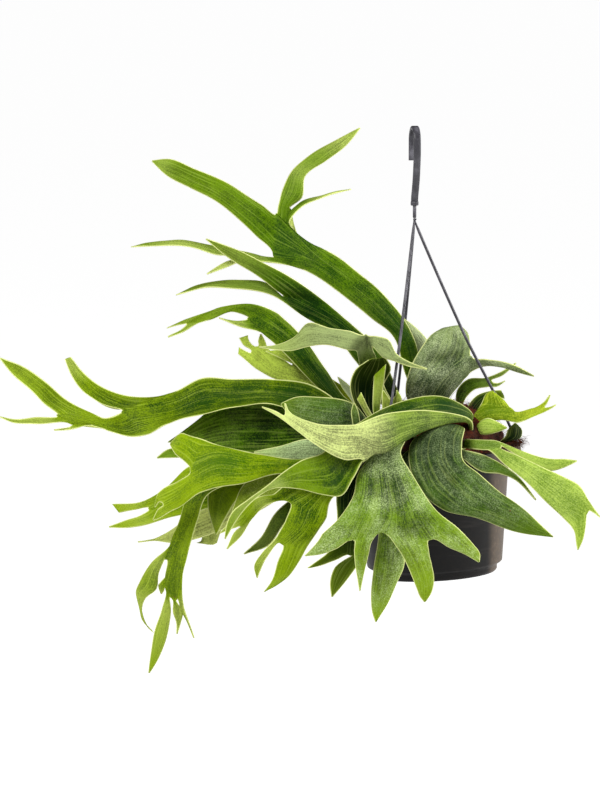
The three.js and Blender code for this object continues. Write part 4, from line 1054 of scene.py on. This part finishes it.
def fibres_on_rim(rng, count):
    """Loose fibre that has crept over the collar, mostly at the right."""
    turn = np.radians(rng.normal(-14, 13, count))
    radius = rng.uniform(68, 83.5, count)
    height = np.where(radius > 71, 0.4, 1.2) + rng.uniform(0, 4.5, count) * rng.uniform(0, 1, count)
    start = lean(np.stack([radius * np.cos(turn), radius * np.sin(turn), height], -1))
    heading = turn + rng.normal(0, 1.3, count)
    ahead = np.stack([np.cos(heading), np.sin(heading), rng.uniform(-0.25, 0.45, count)], -1)
    return start, ahead, rng.uniform(4, 10, count)


# ---- pot ------------------------------------------------------------------
def pot_surface():
    """The pot's profile with its corners rounded, carried round the axis."""
    base, step = -POT_HEIGHT, -POT_HEIGHT + FOOT_HEIGHT
    corners = [
        (1.0, base + 3, 0), (FOOT_RADIUS - 6.5, base + 3, 0.8), (FOOT_RADIUS - 5, base, 0.6),
        (FOOT_RADIUS - 1.6, base, 0.8), (FOOT_RADIUS, base + 2, 0.8), (FOOT_RADIUS, step - 3, 1.0),
        (WALL_FOOT_RADIUS, step, 1.2), (WALL_TOP_RADIUS, -3.4, 0.5),
        (COLLAR_TOP_RADIUS - 1.2, -2.6, 0.5),
        (COLLAR_RADIUS - 1.4, -COLLAR_SKIRT, 0.3), (COLLAR_RADIUS, -COLLAR_SKIRT, 0.4),
        (COLLAR_TOP_RADIUS, -0.8, 0.5), (COLLAR_TOP_RADIUS - 1, 0, 0.5),
        (WALL_TOP_RADIUS - WALL + 1, -0.8, 0.6), (WALL_TOP_RADIUS - WALL, -4, 0.6),
        (WALL_FOOT_RADIUS - WALL, step + 2, 0.8), (FOOT_RADIUS - WALL - 1, base + 3 + WALL, 0.8),
        (1.0, base + 3 + WALL, 0),
    ]
    profile = []
    for k, (r, z, cut) in enumerate(corners):
        here = np.array([r, z])
        if cut == 0:
            profile.append(here)
            continue
        before = np.array(corners[k - 1][:2]) - here
        after = np.array(corners[k + 1][:2]) - here
        start = here + before * min(0.45, cut / np.linalg.norm(before))
        end = here + after * min(0.45, cut / np.linalg.norm(after))
        for t in (0.0, 0.5, 1.0):
            profile.append((1 - t) ** 2 * start + 2 * t * (1 - t) * here + t * t * end)
    return turned(profile, 144)


# ---- hanger ---------------------------------------------------------------
def rounded_bar(width, thick, corner=0.9):
    """Section of a bar: a rectangle with rounded corners, three points to each."""
    out = []
    for x, y, w in ((1, 1, 0), (-1, 1, 90), (-1, -1, 180), (1, -1, 270)):
        for turn in np.radians([w, w + 45, w + 90]):
            out.append((x * (width / 2 - corner) + corner * math.cos(turn),
                        y * (thick / 2 - corner) + corner * math.sin(turn)))
    return np.array(out)


def hook_surface():
    """A flat bar bent to a J: arm, crown and shank lie in one upright plane turned by
    HOOK_YAW; below them a small block and the stem that gathers the strands."""
    mouth = HOOK_MOUTH_RADIUS + HOOK_THICK / 2
    arm = [(mouth, z) for z in np.linspace(-HOOK_ARM, -HOOK_MOUTH_RADIUS, 8)[:-1]]
    turns = np.linspace(0, math.pi, 30)
    crown = [(mouth * math.cos(w), -HOOK_MOUTH_RADIUS + mouth * math.sin(w)) for w in turns[:-1]]
    shank = [(-mouth, -HOOK_MOUTH_RADIUS, 0), (-mouth + 0.3, -24, 0),
             (-7.5, -44, 0), (-0.6, -60, 0), (0, -HOOK_BLOCK, 0)]
    line = np.array(arm + crown + [tuple(p[:2]) for p in curve_through(shank, 30)])
    ahead = normed(np.gradient(line, axis=0))
    plane = np.array([-math.sin(HOOK_YAW), math.cos(HOOK_YAW), 0])
    wide = np.array([math.cos(HOOK_YAW), math.sin(HOOK_YAW), 0])
    up = np.array([0, 0, 1.0])
    section = rounded_bar(HOOK_WIDTH, HOOK_THICK)
    across = ahead[:, 1:] * plane - ahead[:, :1] * up
    path = line[:, :1] * plane + line[:, 1:] * up
    rings = path[:, None] + section[None, :, :1] * wide + section[None, :, 1:] * across[:, None]
    points = np.concatenate([rings.reshape(-1, 3), path[:1], path[-1:]])
    bar = (points, tube_faces(len(path), len(section)))
    sides = [HOOK_WIDTH - 2 * inset for inset in (0.7, 0.1, 0.0, 0.0, 0.1, 0.7)]
    heights = [-HOOK_BLOCK + rise for rise in (1, 0.6, 0.1, -2.1, -2.6, -3)]
    block = swept([(0, 0, z) for z in heights], [rounded_bar(side, side, 1.2) for side in sides])
    stem_z = (-HOOK_BLOCK - 1, -HOOK_BLOCK - 6, -HOOK_NECK + 1.2, -HOOK_NECK + 0.3, -HOOK_NECK)
    stem_radii = (STEM_RADIUS, STEM_RADIUS, STEM_RADIUS, 1.5, 1.1)
    stem = swept([(0, 0, z) for z in stem_z], [circle(16) * r for r in stem_radii])
    return join([bar, block, stem])


def strand_surface(angle):
    """A round rod on a smooth curve from the stem to the collar, thinner where the three
    meet, with the knob that holds it under the collar."""
    w = math.radians(angle)
    radial = np.array([math.cos(w), math.sin(w), 0])
    eye = lean(radial * (COLLAR_TOP_RADIUS - 3.3))
    down = lean(np.array([0, 0, -1.0])) - RIM
    top = radial * 0.95 - np.array([0, 0, HOOK_NECK + GAP])

    def along(t, out):
        point = top + (eye - top) * out
        point[2] = top[2] + (eye[2] - top[2]) * t
        return point

    line = curve_through([top, along(0.06, 0.035), along(0.5, 0.47), along(0.78, 0.79),
                          eye + 4 * -down, eye + 3.4 * down], 70)
    far = np.linalg.norm(line - top, axis=1)
    radius = STRAND_DIAMETER / 2 * np.minimum(1, 0.5 + far / 24)
    section = circle(12)
    rod = swept(line, section[None] * radius[:, None, None])
    w = np.linspace(0.06, math.pi - 0.06, 9)
    knob_path = eye + 5 * down + np.outer(KNOB_RADIUS * np.cos(w), -down)
    knob = swept(knob_path, section[None] * (KNOB_RADIUS * np.sin(w))[:, None, None])
    return join([rod, knob])


# ---- what a user sets -----------------------------------------------------
class FrondSettings(bpy.types.PropertyGroup):
    felt: bpy.props.FloatProperty(
        name="Felt", description="How much white felt the fronds carry",
        default=1.0, min=0.0, max=2.0, subtype="FACTOR")
    veins: bpy.props.FloatProperty(
        name="Veins", description="How clearly the lengthwise veins show",
        default=1.0, min=0.0, max=2.0, subtype="FACTOR")


class RootBallSettings(bpy.types.PropertyGroup):
    dark: bpy.props.IntVectorProperty(
        name="Dark fibre", description="Colour of the coir in its hollows, 0 to 255",
        default=(36, 12, 3), size=3, min=0, max=255)
    light: bpy.props.IntVectorProperty(
        name="Light fibre", description="Colour of the coir where it is dry, 0 to 255",
        default=(118, 46, 12), size=3, min=0, max=255)
    fibres: bpy.props.IntProperty(
        name="Fibres", description="Number of loose fibres on the mound",
        default=2600, min=0, max=6000)


class PotSettings(bpy.types.PropertyGroup):
    roughness: bpy.props.FloatProperty(
        name="Roughness", description="Roughness of the pot's plastic",
        default=0.42, min=0.0, max=1.0, subtype="FACTOR")


class HangerSettings(bpy.types.PropertyGroup):
    roughness: bpy.props.FloatProperty(
        name="Roughness", description="Roughness of the hook and strands",
        default=0.34, min=0.0, max=1.0, subtype="FACTOR")


class StageSettings(bpy.types.PropertyGroup):
    floor: bpy.props.FloatProperty(
        name="Floor height", description="Height of the floor under the hook",
        default=FLOOR_LEVEL, unit="LENGTH", subtype="DISTANCE")
    power: bpy.props.FloatProperty(
        name="Key light", description="Power of the large soft light, in watts",
        default=116.0, min=0.0)


SETTINGS = {
    "staghorn_fronds": FrondSettings,
    "staghorn_root_ball": RootBallSettings,
    "staghorn_pot": PotSettings,
    "staghorn_hanger": HangerSettings,
    "staghorn_stage": StageSettings,
}


# ---- stage, in metres but for the floor -----------------------------------
FLOOR_HALF = 600000.0
WORLD_STRENGTH = 0.03
LIT_MIDDLE = (-0.10, 0.0, -0.26)
# Name, place, size and share of the key light's power.
LIGHTS = (
    ("key", (-1.3, -1.9, 1.7), 1.6, 1.0),
    ("fill", (1.9, -1.6, 0.4), 1.4, 0.15),
    ("side", (1.8, 0.0, 0.6), 0.9, 0.42),
)
LENS = 180.0
SENSOR = 36.0


# ---- operators ------------------------------------------------------------
class STAGHORN_OT_fronds(bpy.types.Operator):
    """Builds every frond, shield and cut stalk as a waved blade with its own finish"""
    bl_idname = "staghorn.fronds"
    bl_label = "Build fronds"

    def execute(self, context):
        settings = context.scene.staghorn_fronds
        parts = {}
        for key, (tint, face, cup, ribbon) in FRONDS.items():
            name = key.split("/")[0]
            points, faces, values = frond_surface(face, cup, ribbon)
            values["dusky"] = np.full(len(points), float("/" in key and tint == "dark"))
            values["hoary"] = np.full(len(points), float("/" in key and tint == "grey"))
            parts.setdefault(name, []).append((tint, points, faces, values))
        for name, surfaces in parts.items():
            points, faces = join([(points, faces) for _, points, faces, _ in surfaces])
            values = {key: np.concatenate([v[key] for *_, v in surfaces]) for key in surfaces[0][3]}
            tips = max(tip_count(entry[3]) for key, entry in FRONDS.items()
                       if key.split("/")[0] == name)
            look = LOOKS[OWN_LOOKS.get(name, surfaces[0][0])]
            material = frond_finish(name + "_leaf", look, tips, settings)
            piece = make_piece(name + "_blade", points, faces, material, values)
            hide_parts(name)
            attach(piece, "root")
        return {"FINISHED"}


class STAGHORN_OT_root_ball(bpy.types.Operator):
    """Builds the coir mound and the loose fibres on it and on the collar"""
    bl_idname = "staghorn.root_ball"
    bl_label = "Build root ball"

    def execute(self, context):
        settings = context.scene.staghorn_root_ball
        coir = coir_finish("coir", settings.dark, settings.light)
        mound = make_piece("coir_mound", *mound_surface(), coir)
        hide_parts("root_ball")
        loose = coir_finish("coir_fibre", (62, 26, 9), (118, 56, 22))
        fibres = join([fibre_surface(settings.fibres, 11, fibres_on_mound),
                       fibre_surface(RIM_FIBRES, 12, fibres_on_rim)])
        shag = make_piece("coir_fibres", *fibres, loose)
        for piece in (mound, shag):
            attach(piece, "root")
        return {"FINISHED"}


class STAGHORN_OT_pot(bpy.types.Operator):
    """Builds the pot with rounded corners"""
    bl_idname = "staghorn.pot"
    bl_label = "Build pot"

    def execute(self, context):
        pot = make_piece("pot_shell", *pot_surface(), pot_finish(context.scene.staghorn_pot))
        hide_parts("pot")
        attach(pot, "root")
        return {"FINISHED"}


class STAGHORN_OT_hanger(bpy.types.Operator):
    """Builds the hook and its three strands"""
    bl_idname = "staghorn.hanger"
    bl_label = "Build hanger"

    def execute(self, context):
        plastic = hanger_finish(context.scene.staghorn_hanger)
        made = {"hook": hook_surface()}
        for name, angle in STRAND_ANGLES.items():
            made[name] = strand_surface(angle)
        for name, surface in made.items():
            piece = make_piece(name + "_bar", *surface, plastic)
            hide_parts(name)
            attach(piece, "root")
        return {"FINISHED"}


class STAGHORN_OT_stage(bpy.types.Operator):
    """Sets up the pale floor, the soft light and the camera"""
    bl_idname = "staghorn.stage"
    bl_label = "Set stage"

    def execute(self, context):
        scene = context.scene
        settings = scene.staghorn_stage
        corners = np.array([(x * FLOOR_HALF, y * FLOOR_HALF, settings.floor / MM)
                            for x, y in ((-1, -1), (1, -1), (1, 1), (-1, 1))])
        floor = make_piece("floor", corners, np.array([[0, 1, 2, 3]]), floor_finish(), smooth=False)
        world = bpy.data.worlds.new("pale_room")
        world.use_nodes = True
        background = world.node_tree.nodes["Background"].inputs
        background["Color"].default_value = (1.0, 1.0, 1.0, 1.0)
        background["Strength"].default_value = WORLD_STRENGTH
        scene.world = world
        for name, place_at, size, share in LIGHTS:
            data = bpy.data.lights.new(name, "AREA")
            data.shape = "DISK"
            data.size = size
            data.energy = share * settings.power
            lamp = bpy.data.objects.new(name, data)
            lamp.location = place_at
            towards = np.array(LIT_MIDDLE) - np.array(place_at)
            turn = math.atan2(towards[1], towards[0]) - math.pi / 2
            dip = math.atan2(towards[2], math.hypot(*towards[:2]))
            lamp.rotation_euler = (math.pi / 2 + dip, 0, turn)
            scene.collection.objects.link(lamp)
        data = bpy.data.cameras.new("camera")
        data.lens = LENS
        data.sensor_width = SENSOR
        camera = bpy.data.objects.new("camera", data)
        back = SHEET_FAR * MM
        camera.location = (SHEET_MIDDLE[0] * MM, -back * math.cos(SHEET_RISE),
                           SHEET_MIDDLE[2] * MM + back * math.sin(SHEET_RISE))
        camera.rotation_euler = (math.pi / 2 - SHEET_RISE, 0, 0)
        data.clip_end = 2000.0
        scene.collection.objects.link(camera)
        scene.camera = camera
        scene.view_settings.view_transform = "Standard"
        return {"FINISHED"}


class STAGHORN_PT_panel(bpy.types.Panel):
    """Lists the builders and what a user may set"""
    bl_idname = "STAGHORN_PT_panel"
    bl_label = "Staghorn fern"
    bl_space_type = "VIEW_3D"
    bl_region_type = "UI"
    bl_category = "Staghorn"

    def draw(self, context):
        for operator in OPERATORS:
            key = operator.bl_idname.replace(".", "_")
            box = self.layout.box()
            settings = getattr(context.scene, key)
            for name in SETTINGS[key].__annotations__:
                box.prop(settings, name)
            box.operator(operator.bl_idname)


OPERATORS = (STAGHORN_OT_fronds, STAGHORN_OT_root_ball, STAGHORN_OT_pot, STAGHORN_OT_hanger,
             STAGHORN_OT_stage)
CLASSES = (*SETTINGS.values(), *OPERATORS, STAGHORN_PT_panel)


def register():
    for cls in CLASSES:
        bpy.utils.register_class(cls)
    for key, cls in SETTINGS.items():
        setattr(bpy.types.Scene, key, bpy.props.PointerProperty(type=cls))


def unregister():
    for key in SETTINGS:
        delattr(bpy.types.Scene, key)
    for cls in reversed(CLASSES):
        bpy.utils.unregister_class(cls)


def main():
    register()
    for operator in OPERATORS:
        group, name = operator.bl_idname.split(".")
        getattr(getattr(bpy.ops, group), name)()
    bpy.context.view_layer.update()


if __name__ == "__main__":
    main()
